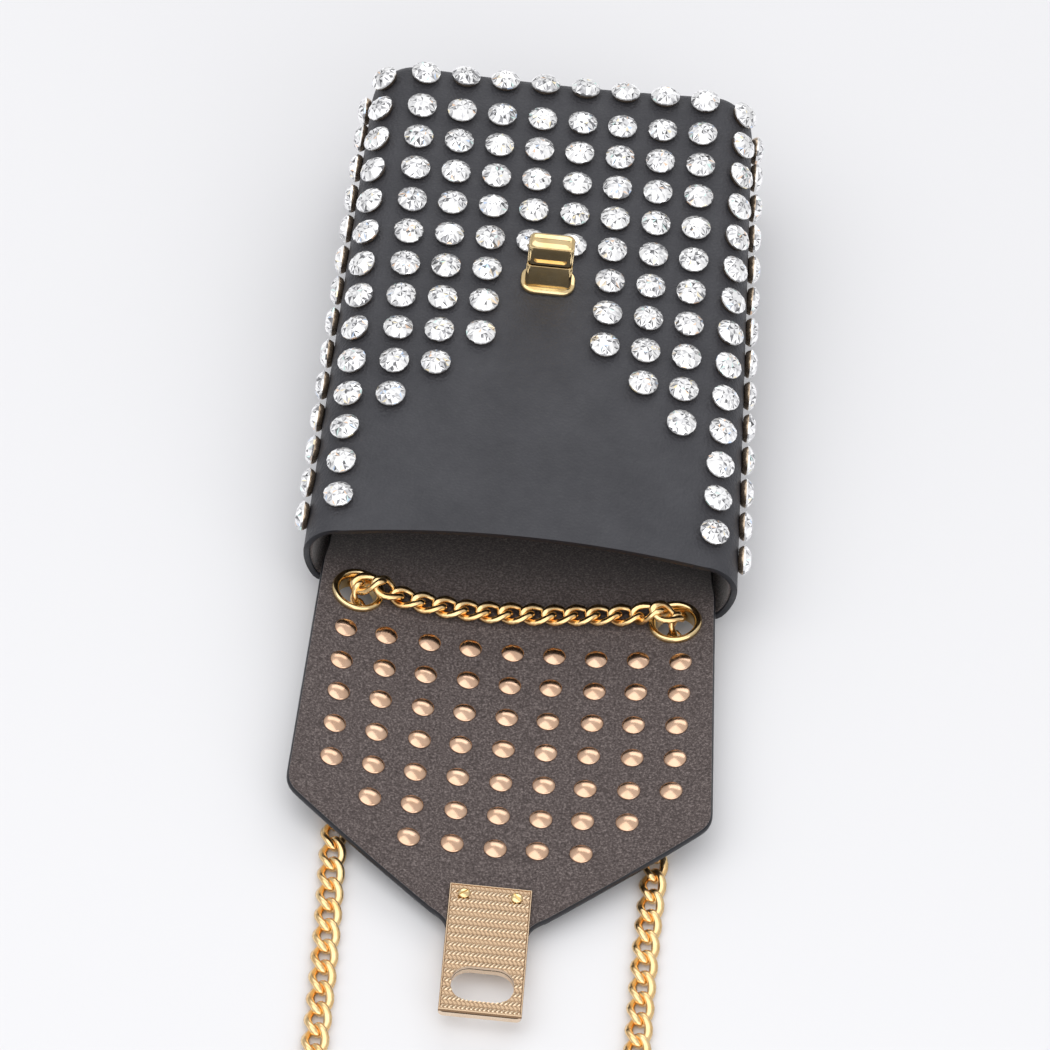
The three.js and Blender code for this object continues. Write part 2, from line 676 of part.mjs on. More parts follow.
function chainRun(points, steps) {
  const extrudePath = new THREE.CatmullRomCurve3(points.map((p) => new THREE.Vector3(...p)));
  return new THREE.ExtrudeGeometry(chainSection, { steps, extrudePath });
}

// The strand's middle height where it lies on the table.
const LIE_Z = CHAIN_THICK / 2 + 0.2;

const crossRoute = [
  [-43.8, -88, 6.2], [-43.8, -88, 9.5], [-43.1, -88, 12.6], [-40.2, -88, 14.4],
  [-36.5, -88.2, 13.3], [-32.5, -88.8, 11.2], [-27, -89.6, 10.6], [-18, -90.1, 9.8],
  [-9, -90, 9.4], [0, -89.4, 9.3], [9, -88.8, 9.4], [18, -88, 9.8], [27, -87.4, 10.6],
  [32.5, -87.2, 11.2], [36.5, -87.5, 13.3], [40.2, -88, 14.4], [43.1, -88, 12.6],
  [43.8, -88, 9.5], [43.8, -88, 6.2],
];

const strandRoute = [
  [43.8, -88, 4.4], [43.8, -88.5, 3.2], [43.8, -90.5, LIE_Z + 0.3], [43.7, -95, LIE_Z],
  [43.6, -103, LIE_Z], [43.5, -117, LIE_Z], [43.4, -135, LIE_Z], [43.2, -155, LIE_Z],
  [42.9, -175, LIE_Z], [42.3, -195, LIE_Z], [42, -218, LIE_Z], [42.2, -240, LIE_Z],
  [44.3, -260, LIE_Z], [47.5, -277, LIE_Z],
];

function buildChain() {
  place('chain_cross', chainRun(crossRoute, 28), brass);
  const mirrored = strandRoute.map(([x, y, z]) => [-x, y, z]);
  place('chain_left', chainRun(mirrored, 24), brass);
  place('chain_right', chainRun(strandRoute, 24), brass);
  const ring = [
    [COIL_INNER_R, 0.05], [COIL_OUTER_R, 0.05],
    [COIL_OUTER_R, COIL_HEIGHT], [COIL_INNER_R, COIL_HEIGHT],
  ];
  const coil = place('chain_coil', turned(ring, 32), brass);
  coil.position.set(0, COIL_CENTRE_Y, 0);
}

buildBody();
buildTurnLock();
buildFoldPanel();
buildFlap();
buildLockPlates();
buildChain();

export default wallet;
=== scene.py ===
import json
import math
import random

import bmesh
import bpy
import numpy as np
from mathutils import Matrix, Vector


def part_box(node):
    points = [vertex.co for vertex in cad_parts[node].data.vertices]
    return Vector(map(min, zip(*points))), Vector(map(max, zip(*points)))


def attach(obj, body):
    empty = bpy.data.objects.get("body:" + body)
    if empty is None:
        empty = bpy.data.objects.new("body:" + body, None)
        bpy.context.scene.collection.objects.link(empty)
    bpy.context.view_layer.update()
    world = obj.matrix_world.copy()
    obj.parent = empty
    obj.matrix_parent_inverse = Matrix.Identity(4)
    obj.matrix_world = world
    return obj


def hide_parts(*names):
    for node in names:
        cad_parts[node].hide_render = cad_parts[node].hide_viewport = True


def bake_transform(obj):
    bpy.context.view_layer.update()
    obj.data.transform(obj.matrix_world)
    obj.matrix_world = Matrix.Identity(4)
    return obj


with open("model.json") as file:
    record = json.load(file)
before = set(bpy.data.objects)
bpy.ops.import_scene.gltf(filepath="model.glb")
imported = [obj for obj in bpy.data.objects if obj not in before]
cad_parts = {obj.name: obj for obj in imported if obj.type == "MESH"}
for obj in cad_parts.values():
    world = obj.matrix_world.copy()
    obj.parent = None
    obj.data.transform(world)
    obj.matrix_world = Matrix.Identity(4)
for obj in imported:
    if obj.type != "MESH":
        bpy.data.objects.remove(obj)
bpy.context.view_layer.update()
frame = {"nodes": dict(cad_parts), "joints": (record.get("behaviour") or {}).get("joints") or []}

# A studded fold-over phone wallet, open and lying on its back, with a curb chain strap.
# Lengths in this script are millimetres in the part's own frame. MM turns them into metres.

MM = 0.001
scene = bpy.context.scene
rng = random.Random(11)


# ---- sizes from the frame ----

def low(node):
    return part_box(node)[0] / MM


def high(node):
    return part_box(node)[1] / MM


LIP_Y = low("front_shell").y
BASE_Y = high("front_shell").y
HALF_WIDTH_LIP = high("front_shell").x
LINING_Z = 7.0
SHEET = 3.0
LIFT = LINING_Z - SHEET
PLATE_TOP_Y = high("lock_plate").y
PLATE_END_Y = low("lock_plate").y
PLATE_LOW_Z = low("lock_plate").z
PLATE_HIGH_Z = high("lock_plate").z
PLATE_WIDTH = 2 * high("lock_plate").x
EMBOSS_SINK = 0.2  # the embossed field lies this far below the plate's rim
EMBOSS_Z = PLATE_HIGH_Z - EMBOSS_SINK
BODY_LENGTH = BASE_Y - LIP_Y
JOINTS = {j["name"]: j for j in frame["joints"]}
BACK_FOLD_Y = JOINTS["fold_back"]["pos_m"][1] / MM
FLAP_FOLD_Y = JOINTS["fold_front"]["pos_m"][1] / MM
LOCK_Y = JOINTS["knob_turn"]["pos_m"][1] / MM

# shape of the body, as in the CAD model
HALF_WIDTH_BASE = 54.6
HEIGHT_LIP = 34.0
SLOPE_LIP = 0.095
SLOPE_BASE = 0.06
CROWN = (5.0, -1.5)
TOP_CORNER = (10.0, 12.0)
FOOT = 5.5
FOOT_HEIGHT = 14.0
BASE_ROLL = 9.0
SHELL_LEATHER = 1.6
LIFT_START_Y = -48.0

# shape of the flap
CUP = 5.7
CUP_HALF_WIDTH = 57.0
FLAP_HALF_WIDTH_FOLD = 54.4
FLAP_HALF_WIDTH_CORNER = 57.3
FLAP_CORNER_Y = -155.0
SHOULDER = (54.3, -162.0)
WAIST = (16.0, -193.0)
NECK = (11.2, -198.5)
TONGUE_HALF_WIDTH = 9.2
TONGUE_END_Y = -208.0
SPLIT_Y = (BACK_FOLD_Y + FLAP_FOLD_Y) / 2


# ---- camera ----

CAMERA_ELEVATION = 48.0
CAMERA_AZIMUTH = -1.0
CAMERA_ROLL = 6.5
CAMERA_TARGET = (0.28, -55.7, 8.4)
CAMERA_DISTANCE = 1919.0
FOCAL_LENGTH = 237.02
SENSOR_WIDTH = 36


def set_camera():
    elevation = math.radians(CAMERA_ELEVATION)
    azimuth = math.radians(CAMERA_AZIMUTH)
    roll = math.radians(CAMERA_ROLL)
    across = math.cos(elevation)
    back = Vector((math.sin(azimuth) * across, -math.cos(azimuth) * across, math.sin(elevation)))
    right = Vector((math.cos(azimuth), math.sin(azimuth), 0))
    up = back.cross(right)
    rolled_right = math.cos(roll) * right + math.sin(roll) * up
    rolled_up = -math.sin(roll) * right + math.cos(roll) * up
    data = bpy.data.cameras.new("camera")
    data.lens = FOCAL_LENGTH
    data.sensor_width = SENSOR_WIDTH
    data.clip_start = 0.05
    data.clip_end = 50
    camera = bpy.data.objects.new("camera", data)
    matrix = Matrix((rolled_right, rolled_up, back)).transposed().to_4x4()
    matrix.translation = Vector(CAMERA_TARGET) * MM + back * (CAMERA_DISTANCE * MM)
    camera.matrix_world = matrix
    scene.collection.objects.link(camera)
    scene.camera = camera


set_camera()


# ---- mesh helpers ----

def add_mesh(name, verts, faces, materials, slots=None, sharp=35, fix=True):
    mesh = bpy.data.meshes.new(name)
    points = np.asarray(verts, float) * MM
    mesh.from_pydata(points.tolist(), [], [tuple(int(i) for i in f) for f in faces])
    for m in materials:
        mesh.materials.append(m)
    if slots is not None:
        mesh.polygons.foreach_set("material_index", np.asarray(slots, np.int32))
    if fix:
        turn_outwards(mesh)
    shade(mesh, sharp)
    piece = bpy.data.objects.new(name, mesh)
    scene.collection.objects.link(piece)
    return piece


def turn_outwards(mesh):
    bm = bmesh.new()
    bm.from_mesh(mesh)
    bmesh.ops.recalc_face_normals(bm, faces=bm.faces)
    bm.to_mesh(mesh)
    bm.free()


def shade(mesh, sharp):
    mesh.polygons.foreach_set("use_smooth", [True] * len(mesh.polygons))
    mesh.set_sharp_from_angle(angle=math.radians(sharp))
    mesh.update()


# Makes the modifiers' result the piece's own mesh.
def settle(piece, sharp=35):
    graph = bpy.context.evaluated_depsgraph_get()
    mesh = bpy.data.meshes.new_from_object(piece.evaluated_get(graph))
    piece.modifiers.clear()
    piece.data = mesh
    shade(mesh, sharp)
    return piece


def strip_faces(rows, columns, wrap_rows=False, wrap_columns=False, start=0):
    faces = []
    for r in range(rows if wrap_rows else rows - 1):
        for c in range(columns if wrap_columns else columns - 1):
            c2 = (c + 1) % columns
            r2 = (r + 1) % rows
            near = start + r * columns
            far = start + r2 * columns
            faces.append((near + c, near + c2, far + c2, far + c))
    return faces


# The profile of a plain rod for turned().
def rod(radius, bottom, top):
    return [(0, bottom), (radius, bottom), (radius, top), (0, top)]


# A solid or ring turned about Z from a [radius, height] profile. Radius 0 is the axis.
def turned(profile, sides, closed=False):
    verts = []
    rings = []
    for radius, z in profile:
        if radius == 0:
            rings.append([len(verts)])
            verts.append((0, 0, z))
            continue
        rings.append(list(range(len(verts), len(verts) + sides)))
        for i in range(sides):
            turn = 2 * math.pi * i / sides
            verts.append((radius * math.cos(turn), radius * math.sin(turn), z))
    pairs = list(zip(rings, rings[1:]))
    if closed:
        pairs.append((rings[-1], rings[0]))
    faces = []
    for a, b in pairs:
        for i in range(sides):
            j = (i + 1) % sides
            face = [a[i % len(a)], a[j % len(a)], b[j % len(b)], b[i % len(b)]]
            face = [v for k, v in enumerate(face) if v not in face[:k]]
            if len(face) > 2:
                faces.append(tuple(face))
    return np.array(verts, float), faces


# Copies of one small mesh, one at each matrix.
def scatter(verts, faces, matrices):
    count = len(verts)
    every = [apply_matrix(verts, m) for m in matrices]
    all_faces = [tuple(i + k * count for i in f) for k in range(len(matrices)) for f in faces]
    return np.vstack(every), all_faces


def standing(point, normal, spin=0.0):
    normal = Vector(normal).normalized()
    across = Vector((0, 1, 0)).cross(normal)
    if across.length < 1e-3:
        across = Vector((1, 0, 0))
    across.normalize()
    along = normal.cross(across)
    rotation = Matrix((across, along, normal)).transposed().to_4x4()
    rotation = rotation @ Matrix.Rotation(spin, 4, "Z")
    rotation.translation = Vector(point)
    return rotation


def lerp(a, b, t):
    return a + (b - a) * t


def smoothstep(t):
    t = min(max(t, 0.0), 1.0)
    return t * t * (3 - 2 * t)


def rounded_outline(width, depth, radius, steps=8):
    points = []
    for k, (sx, sy) in enumerate([(1, 1), (-1, 1), (-1, -1), (1, -1)]):
        for i in range(steps + 1):
            turn = (k + i / steps) * math.pi / 2
            x = sx * (width / 2 - radius) + radius * math.cos(turn)
            y = sy * (depth / 2 - radius) + radius * math.sin(turn)
            points.append((x, y))
    return points


# A closed block over an outline function, given as [grow, height] steps from its foot to its top.
def stacked(outline, steps):
    rings = [[(x, y, z) for x, y in outline(grow)] for grow, z in steps]
    count = len(rings[0])
    verts = [p for ring in rings for p in ring]
    faces = strip_faces(len(rings), count, wrap_columns=True)
    faces.append(tuple(range(count)))
    faces.append(tuple(range(len(verts) - count, len(verts))))
    return np.array(verts, float), faces


def apply_matrix(verts, matrix):
    hom = np.hstack([verts, np.ones((len(verts), 1))])
    return (hom @ np.array(matrix).T)[:, :3]


def round_edges(piece, width, angle):
    modifier = piece.modifiers.new("round", "BEVEL")
    modifier.width = width * MM
    modifier.segments = 3
    modifier.limit_method = "ANGLE"
    modifier.angle_limit = math.radians(angle)
    return modifier


def cut_away(piece, cutter):
    modifier = piece.modifiers.new("cut", "BOOLEAN")
    modifier.operation = "DIFFERENCE"
    modifier.solver = "EXACT"
    modifier.object = cutter
    settle(piece)
    bpy.data.objects.remove(cutter)


# ---- materials ----

METAL_WAVE = 0.02
GROOVE_SHADE_DEPTH = 0.3
# Strength of the crystals' painted glow.
CRYSTAL_GLOW = 0.16


# Fills a colour ramp from (position, colour) pairs.
def set_stops(node, stops):
    elements = node.color_ramp.elements
    while len(elements) < len(stops):
        elements.new(0.5)
    for element, (position, color) in zip(elements, stops):
        element.position = position
        element.color = (*color, 1)


class Surface:
    """A material being wired up: every texture is read in the object's own coordinates."""

    def __init__(self, name, color, roughness, metallic=0.0, **settings):
        self.material = bpy.data.materials.new(name)
        self.material.use_nodes = True
        self.tree = self.material.node_tree
        self.shader = self.tree.nodes["Principled BSDF"]
        self.set("Base Color", (*color, 1))
        self.set("Roughness", roughness)
        self.set("Metallic", metallic)
        for socket, value in settings.items():
            self.set(socket.replace("_", " "), value)
        self.place = self.node("ShaderNodeTexCoord").outputs["Object"]

    def set(self, socket, value):
        self.shader.inputs[socket].default_value = value

    def node(self, kind, **settings):
        made = self.tree.nodes.new(kind)
        for key, value in settings.items():
            setattr(made, key, value)
        return made

    def link(self, source, target):
        self.tree.links.new(source, target)

    def noise(self, size, detail=3.0, roughness=0.55):
        made = self.node("ShaderNodeTexNoise")
        made.inputs["Scale"].default_value = 1 / (size * MM)
        made.inputs["Detail"].default_value = detail
        made.inputs["Roughness"].default_value = roughness
        self.link(self.place, made.inputs["Vector"])
        return made.outputs["Fac"]

    def cells(self, size):
        made = self.node("ShaderNodeTexVoronoi")
        made.inputs["Scale"].default_value = 1 / (size * MM)
        self.link(self.place, made.inputs["Vector"])
        return made.outputs["Distance"]

    def ramp(self, value, stops):
        made = self.node("ShaderNodeValToRGB")
        set_stops(made, stops)
        self.link(value, made.inputs["Fac"])
        return made.outputs["Color"]

    def spread(self, value, start, end, to_start, to_end):
        made = self.node("ShaderNodeMapRange")
        made.inputs["From Min"].default_value = start
        made.inputs["From Max"].default_value = end
        made.inputs["To Min"].default_value = to_start
        made.inputs["To Max"].default_value = to_end
        self.link(value, made.inputs["Value"])
        return made.outputs["Result"]

    def color(self, output):
        self.link(output, self.shader.inputs["Base Color"])

    def roughness(self, output):
        self.link(output, self.shader.inputs["Roughness"])

    # Bumps in the order given, each on top of the one before.
    def bumps(self, *layers):
        before = None
        for height, strength, depth in layers:
            made = self.node("ShaderNodeBump")
            made.inputs["Strength"].default_value = strength
            made.inputs["Distance"].default_value = depth * MM
            self.link(height, made.inputs["Height"])
            if before is not None:
                self.link(before, made.inputs["Normal"])
            before = made.outputs["Normal"]
        self.link(before, self.shader.inputs["Normal"])


def grained_leather():
    s = Surface("charcoal_leather", (0.05, 0.05, 0.055), 0.5, Specular_IOR_Level=0.42)
    tone = s.noise(14, 4)
    s.color(s.ramp(tone, [(0.3, (0.034, 0.0345, 0.041)), (0.7, (0.047, 0.0475, 0.055))]))
    s.roughness(s.spread(s.noise(3, 3), 0.3, 0.7, 0.46, 0.6))
    s.bumps((s.cells(0.9), 1.0, 0.16), (s.noise(0.5, 4), 0.6, 0.09), (s.noise(6, 3), 0.2, 0.3))
    return s.material


def suede_lining():
    s = Surface("suede_lining", (0.09, 0.075, 0.07), 0.95, Sheen_Weight=0.35, Sheen_Roughness=0.5)
    s.set("Specular IOR Level", 0.15)
    nap = s.noise(0.62, 5, 0.8)
    s.color(s.ramp(nap, [(0.34, (0.030, 0.022, 0.021)), (0.5, (0.078, 0.060, 0.057)),
                         (0.66, (0.24, 0.20, 0.19))]))
    s.bumps((nap, 0.5, 0.12), (s.noise(9, 3), 0.25, 0.4))
    return s.material


def painted_edge():
    s = Surface("painted_edge", (0.007, 0.0075, 0.012), 0.42)
    s.roughness(s.spread(s.noise(1.5, 3), 0.3, 0.7, 0.32, 0.48))
    s.bumps((s.noise(0.6, 2), 0.15, 0.08))
    return s.material


def metal(name, color, dark, roughness):
    s = Surface(name, color, roughness, 1.0)
    s.color(s.ramp(s.noise(5, 3), [(0.3, dark), (0.65, color)]))
    s.roughness(s.spread(s.noise(0.9, 4), 0.3, 0.7, roughness * 0.8, roughness * 1.25))
    s.bumps((s.noise(6, 2), 0.1, METAL_WAVE))
    return s.material


# The crystal's base colour is its facets' painted reflections and shade, and it also glows in those colours,
# though a crystal is no lamp.
def crystal():
    s = Surface("crystal", (0.9, 0.9, 0.92), 0.06, 0.62, IOR=1.6, Coat_Weight=0.6)
    tone = s.node("ShaderNodeAttribute", attribute_name="facet")
    s.color(tone.outputs["Color"])
    s.link(tone.outputs["Color"], s.shader.inputs["Emission Color"])
    s.set("Emission Strength", CRYSTAL_GLOW)
    s.roughness(s.spread(s.noise(2, 2), 0.3, 0.7, 0.04, 0.1))
    return s.material


# Painted shade: darker in the grooves of the embossing than on its ridges, which are painted lighter.
def embossed_gold():
    s = Surface("embossed_gold", (0.8, 0.6, 0.42), 0.22, 1.0)
    split = s.node("ShaderNodeSeparateXYZ")
    s.link(s.place, split.inputs[0])
    low_z = EMBOSS_Z * MM
    height = s.spread(split.outputs["Z"], low_z, low_z + GROOVE_SHADE_DEPTH * MM, 0, 1)
    s.color(s.ramp(height, [(0.0, (0.30, 0.19, 0.11)), (0.45, (0.60, 0.43, 0.28)),
                            (0.9, (0.90, 0.71, 0.50))]))
    s.roughness(s.spread(s.noise(0.9, 3), 0.3, 0.7, 0.16, 0.28))
    return s.material


def grey_board():
    s = Surface("grey_board", (0.3, 0.25, 0.2), 0.9)
    s.color(s.ramp(s.noise(1.2, 4), [(0.3, (0.24, 0.20, 0.15)), (0.7, (0.36, 0.30, 0.24))]))
    s.bumps((s.noise(0.5, 3), 0.3, 0.1))
    return s.material


LEATHER = grained_leather()
SUEDE = suede_lining()
EDGE = painted_edge()
GOLD = metal("polished_gold", (0.90, 0.70, 0.39), (0.83, 0.60, 0.29), 0.13)
CHAIN_GOLD = metal("chain_gold", (0.98, 0.72, 0.38), (0.93, 0.60, 0.27), 0.19)
ROSE = metal("rose_gold", (0.76, 0.52, 0.37), (0.70, 0.45, 0.30), 0.20)
CHAMPAGNE = metal("champagne_gold", (0.86, 0.70, 0.54), (0.80, 0.63, 0.47), 0.24)
BRONZE = metal("bronze_cup", (0.62, 0.50, 0.38), (0.45, 0.35, 0.25), 0.28)
STEEL = metal("steel", (0.55, 0.55, 0.54), (0.45, 0.45, 0.44), 0.35)
CRYSTAL = crystal()
EMBOSSED = embossed_gold()
BOARD = grey_board()


# ---- chain strap ----

WIRE = 2.35
CHAIN_WIDTH = 7.6
CHAIN_THICK = 3.6
CROSS_PITCH = 6.1
STRAND_PITCH = 7.0
LIE_Z = 1.8
LINK_SQUARENESS = 0.86
LINK_TWIST = 46
LINK_WOBBLE = 4
LINK_SPAN = 2.5  # a link's direction is taken between points this far before and after it
ROUTE_STEPS = 10

CROSS_ROUTE = [
    (-43.8, -88, 6.2), (-43.8, -88, 9.5), (-43.1, -88, 12.6), (-40.2, -88, 14.4),
    (-36.5, -88.2, 13.3), (-32.5, -88.8, 11.2), (-27, -89.6, 10.6), (-18, -90.1, 9.8),
    (-9, -90, 9.4), (0, -89.4, 9.3), (9, -88.8, 9.4), (18, -88, 9.8), (27, -87.4, 10.6),
    (32.5, -87.2, 11.2), (36.5, -87.5, 13.3), (40.2, -88, 14.4), (43.1, -88, 12.6),
    (43.8, -88, 9.5), (43.8, -88, 6.2),
]

STRAND_ROUTE = [
    (43.8, -88, 4.4), (43.8, -88.5, 3.2), (43.8, -90.5, LIE_Z + 0.3), (43.7, -95, LIE_Z),
    (43.6, -103, LIE_Z), (43.5, -117, LIE_Z), (43.4, -135, LIE_Z), (43.2, -155, LIE_Z),
    (42.9, -175, LIE_Z), (42.3, -195, LIE_Z), (42, -218, LIE_Z), (42.2, -240, LIE_Z),
    (44.3, -260, LIE_Z), (47.5, -277, LIE_Z),
]

COIL_CENTRE_Y = -310.0
COIL_OUTER_R = 50.0
COIL_INNER_R = 34.5
COIL_HUMP = 3.9
COIL_STEPS = 16
COIL_TURNS = 3
COIL_INWARDS = 2.0  # turns that spiral inwards
COIL_ENTRY = 0.3  # turns over which the left strand joins the coil
COIL_EXIT = 0.72  # turns over which the chain comes out again
HUMP_RISE = (0.80, 0.60)  # turns before the end: the chain climbs over the coil here ...
HUMP_FALL = 0.12  # ... and comes down over the last ones


# The stored part: two turns inwards, then out again over them to the right strand.
def coil_points():
    end = Vector(STRAND_ROUTE[-1])
    reach_x = end.x
    reach_y = end.y - COIL_CENTRE_Y
    edge_r = math.hypot(reach_x, reach_y)
    start = math.pi - math.atan2(reach_y, reach_x)
    finish = 2 * math.pi * COIL_TURNS + math.atan2(reach_y, reach_x)
    turns = (finish - start) / (2 * math.pi)
    count = round(turns * COIL_STEPS)
    points = []
    for i in range(1, count):
        turn = turns * i / count
        inwards = min(turn / COIL_INWARDS, 1.0)
        radius = lerp(COIL_OUTER_R, COIL_INNER_R, inwards)
        radius += (edge_r - COIL_OUTER_R) * (1 - smoothstep(turn / COIL_ENTRY))
        left = turns - turn
        outwards = smoothstep(1 - left / COIL_EXIT)
        radius = lerp(radius, edge_r, outwards)
        climb = (HUMP_RISE[0] - left) / (HUMP_RISE[0] - HUMP_RISE[1])
        hump = smoothstep(climb) * smoothstep(left / HUMP_FALL)
        angle = lerp(start, finish, i / count)
        x = radius * math.cos(angle)
        y = COIL_CENTRE_Y + radius * math.sin(angle)
        points.append((x, y, LIE_Z + COIL_HUMP * hump))
    return points


# A centripetal Catmull-Rom curve through the points, as a dense row of points.
def smooth_route(points):
    p = [np.array(q, float) for q in points]
    p = [2 * p[0] - p[1], *p, 2 * p[-1] - p[-2]]
    route = []
    for i in range(1, len(p) - 2):
        four = p[i - 1:i + 3]
        t = [0.0]
        for a, b in zip(four, four[1:]):
            t.append(t[-1] + max(np.linalg.norm(b - a), 1e-6) ** 0.5)
        for k in range(ROUTE_STEPS):
            u = lerp(t[1], t[2], k / ROUTE_STEPS)
            level = four
            for depth in (1, 2, 3):
                knots = [(t[n], t[n + depth]) for n in range(4 - depth)] if depth < 3 else [(t[1], t[2])]
                level = [((end - u) * a + (u - start) * b) / (end - start)
                         for (start, end), a, b in zip(knots, level, level[1:])]
            route.append(level[0])
    route.append(p[-2])
    return np.array(route)


# One curb link: an oval of round wire, twisted along its length and pressed flat.
def curb_link(pitch, hand):
    around, wire_sides = 28, 10
    half_long = (pitch + WIRE) / 2
    half_wide = (CHAIN_WIDTH - WIRE) / 2

    def centre(turn):
        c, s = math.cos(turn), math.sin(turn)
        x = half_long * math.copysign(abs(c) ** LINK_SQUARENESS, c)
        y = half_wide * math.copysign(abs(s) ** LINK_SQUARENESS, s)
        return np.array((x, y, 0.0))

    verts = []
    for i in range(around):
        turn = 2 * math.pi * (i + 0.5) / around
        along = centre(turn + 0.02) - centre(turn - 0.02)
        along /= np.linalg.norm(along)
        side = np.array((along[1], -along[0], 0))
        for k in range(wire_sides):
            a = 2 * math.pi * k / wire_sides
            offset = WIRE / 2 * (math.cos(a) * side + math.sin(a) * np.array((0, 0, 1.0)))
            verts.append(centre(turn) + offset)
    verts = np.array(verts)
    twist = hand * math.radians(LINK_TWIST) * np.clip(verts[:, 0] / (pitch / 2), -1.25, 1.25)
    y = verts[:, 1] * np.cos(twist) - verts[:, 2] * np.sin(twist)
    z = verts[:, 1] * np.sin(twist) + verts[:, 2] * np.cos(twist)
    z *= CHAIN_THICK / (z.max() - z.min())
    verts[:, 1] = y
    verts[:, 2] = z
    return verts, strip_faces(around, wire_sides, wrap_rows=True, wrap_columns=True)


def chain_mesh(name, route, pitch, width_at, hand):
    steps = np.linalg.norm(np.diff(route, axis=0), axis=1)
    walked = np.concatenate([[0], np.cumsum(steps)])
    total = walked[-1]
    count = round(total / pitch)
    verts, faces = curb_link(total / count, hand)
    matrices = []
    for i in range(count):
        place = (i + 0.5) * total / count
        near = [np.interp(place + d, walked, route[:, k]) for d in (-LINK_SPAN, LINK_SPAN) for k in range(3)]
        along = Vector(near[3:]) - Vector(near[:3])
        along.normalize()
        point = Vector([np.interp(place, walked, route[:, k]) for k in range(3)])
        across = width_at(along)
        across = (across - along * across.dot(along)).normalized()
        normal = along.cross(across)
        matrix = Matrix((along, across, normal)).transposed().to_4x4()
        wobble = math.radians(rng.uniform(-LINK_WOBBLE, LINK_WOBBLE))
        matrix = matrix @ Matrix.Rotation(wobble, 4, "X")
        matrix.translation = point
        matrices.append(matrix)
    all_verts, all_faces = scatter(verts, faces, matrices)
    return add_mesh(name, all_verts, all_faces, [CHAIN_GOLD], sharp=80), total


def across_cross(along):
    return Vector((0, 1, 0))


def across_strand(along):
    flat = Vector((along.y, -along.x, 0))
    return flat if flat.length > 0.2 else Vector((1, 0, 0))


def make_chains():
    route = smooth_route(CROSS_ROUTE)
    cross, length = chain_mesh("chain_cross_run", route, CROSS_PITCH, across_cross, -1)
    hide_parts("chain_cross")
    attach(cross, "fold")

    left = [(-x, y, z) for x, y, z in STRAND_ROUTE]
    route = smooth_route([*left, *coil_points(), *reversed(STRAND_ROUTE)])
    strap, length = chain_mesh("chain_strap", route, STRAND_PITCH, across_strand, -1)
    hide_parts("chain_left", "chain_right", "chain_coil")
    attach(strap, "strap")


make_chains()


# ---- body ----

FOOT_STEPS, SIDE_STEPS, CORNER_STEPS, CROWN_STEPS = 7, 5, 12, 18
FLOOR_STEPS = 12
ROLL_STEPS = 8
BODY_ROWS = 56
LIP_SLIDE = 3.4  # the mouth's lower edge lies this much further in than its upper edge
LIP_SLIDE_LENGTH = 30
LIP_SLIDE_FADE = 1.6
SHELL_SUEDE = 0.6
SUEDE_GAP = 0.1
SUEDE_SETBACK = 0.8
EDGE_ROUND = 0.32  # share of a skin's thickness that its edges are rounded by
SHARP_EDGE = 50


def body_lerp(y, at_lip, at_base):
    return lerp(at_lip, at_base, (y - LIP_Y) / BODY_LENGTH)


def front_height(y):
    s = y - LIP_Y
    return HEIGHT_LIP + SLOPE_LIP * s - (SLOPE_LIP - SLOPE_BASE) / (2 * BODY_LENGTH) * s * s


def lift_at(y):
    return LIFT * smoothstep((LIFT_START_Y - y) / (LIFT_START_Y - BACK_FOLD_Y))


# Half of a cross-section at y, from the back panel's edge over the side to the centre line.
def half_section(y, inset=0.0):
    half_width = body_lerp(y, HALF_WIDTH_LIP, HALF_WIDTH_BASE) - inset
    top = front_height(y) - inset
    bottom = lift_at(y) + inset
    corner = max(body_lerp(y, *TOP_CORNER) - inset, 1)
    foot = max(FOOT - inset, 1)
    foot_height = max(FOOT_HEIGHT - inset, 1)
    crown = body_lerp(y, *CROWN)
    flat = half_width - corner
    points = []
    for i in range(FOOT_STEPS):
        turn = (i / FOOT_STEPS) * math.pi / 2
        x = half_width - foot * (1 - math.sin(turn))
        points.append((x, bottom + foot_height * (1 - math.cos(turn))))
    side_low = bottom + foot_height
    side_high = top - crown - corner
    for i in range(SIDE_STEPS):
        points.append((half_width, lerp(side_low, side_high, i / SIDE_STEPS)))
    for i in range(CORNER_STEPS):
        turn = (i / CORNER_STEPS) * math.pi / 2
        x = flat + corner * math.cos(turn)
        points.append((x, top - crown - corner * (1 - math.sin(turn))))
    for i in range(CROWN_STEPS + 1):
        share = 1 - i / CROWN_STEPS
        points.append((flat * share, top - crown * share * share))
    return points


# The whole cross-section, and how many of its points come before the back panel's opening.
def full_section(y, inset=0.0):
    half = half_section(y, inset)
    right = [(x, y, z) for x, z in half]
    left = [(-x, y, z) for x, z in reversed(half[:-1])]
    foot_x, foot_z = half[0]
    floor = [(lerp(-foot_x, foot_x, i / FLOOR_STEPS), y, foot_z) for i in range(1, FLOOR_STEPS)]
    return right + left + floor, len(right) + len(left)


# [y, inset] of each cross-section, from the mouth and round the base's rolled edge.
def body_rows(inset, start_y):
    roll_y = BASE_Y - BASE_ROLL
    roll = BASE_ROLL - inset
    made = [(lerp(start_y, roll_y, i / BODY_ROWS), inset) for i in range(BODY_ROWS + 1)]
    for i in range(1, ROLL_STEPS + 1):
        turn = (i / ROLL_STEPS) * math.pi / 2
        made.append((roll_y + roll * math.sin(turn), inset + roll * (1 - math.cos(turn))))
    return made


# How much of the mouth's slide a point at height z takes: all of it low down, none at the top.
def slide_share(y, z):
    return 1 - smoothstep((z - LINING_Z) / (front_height(y) - LINING_Z) * LIP_SLIDE_FADE)


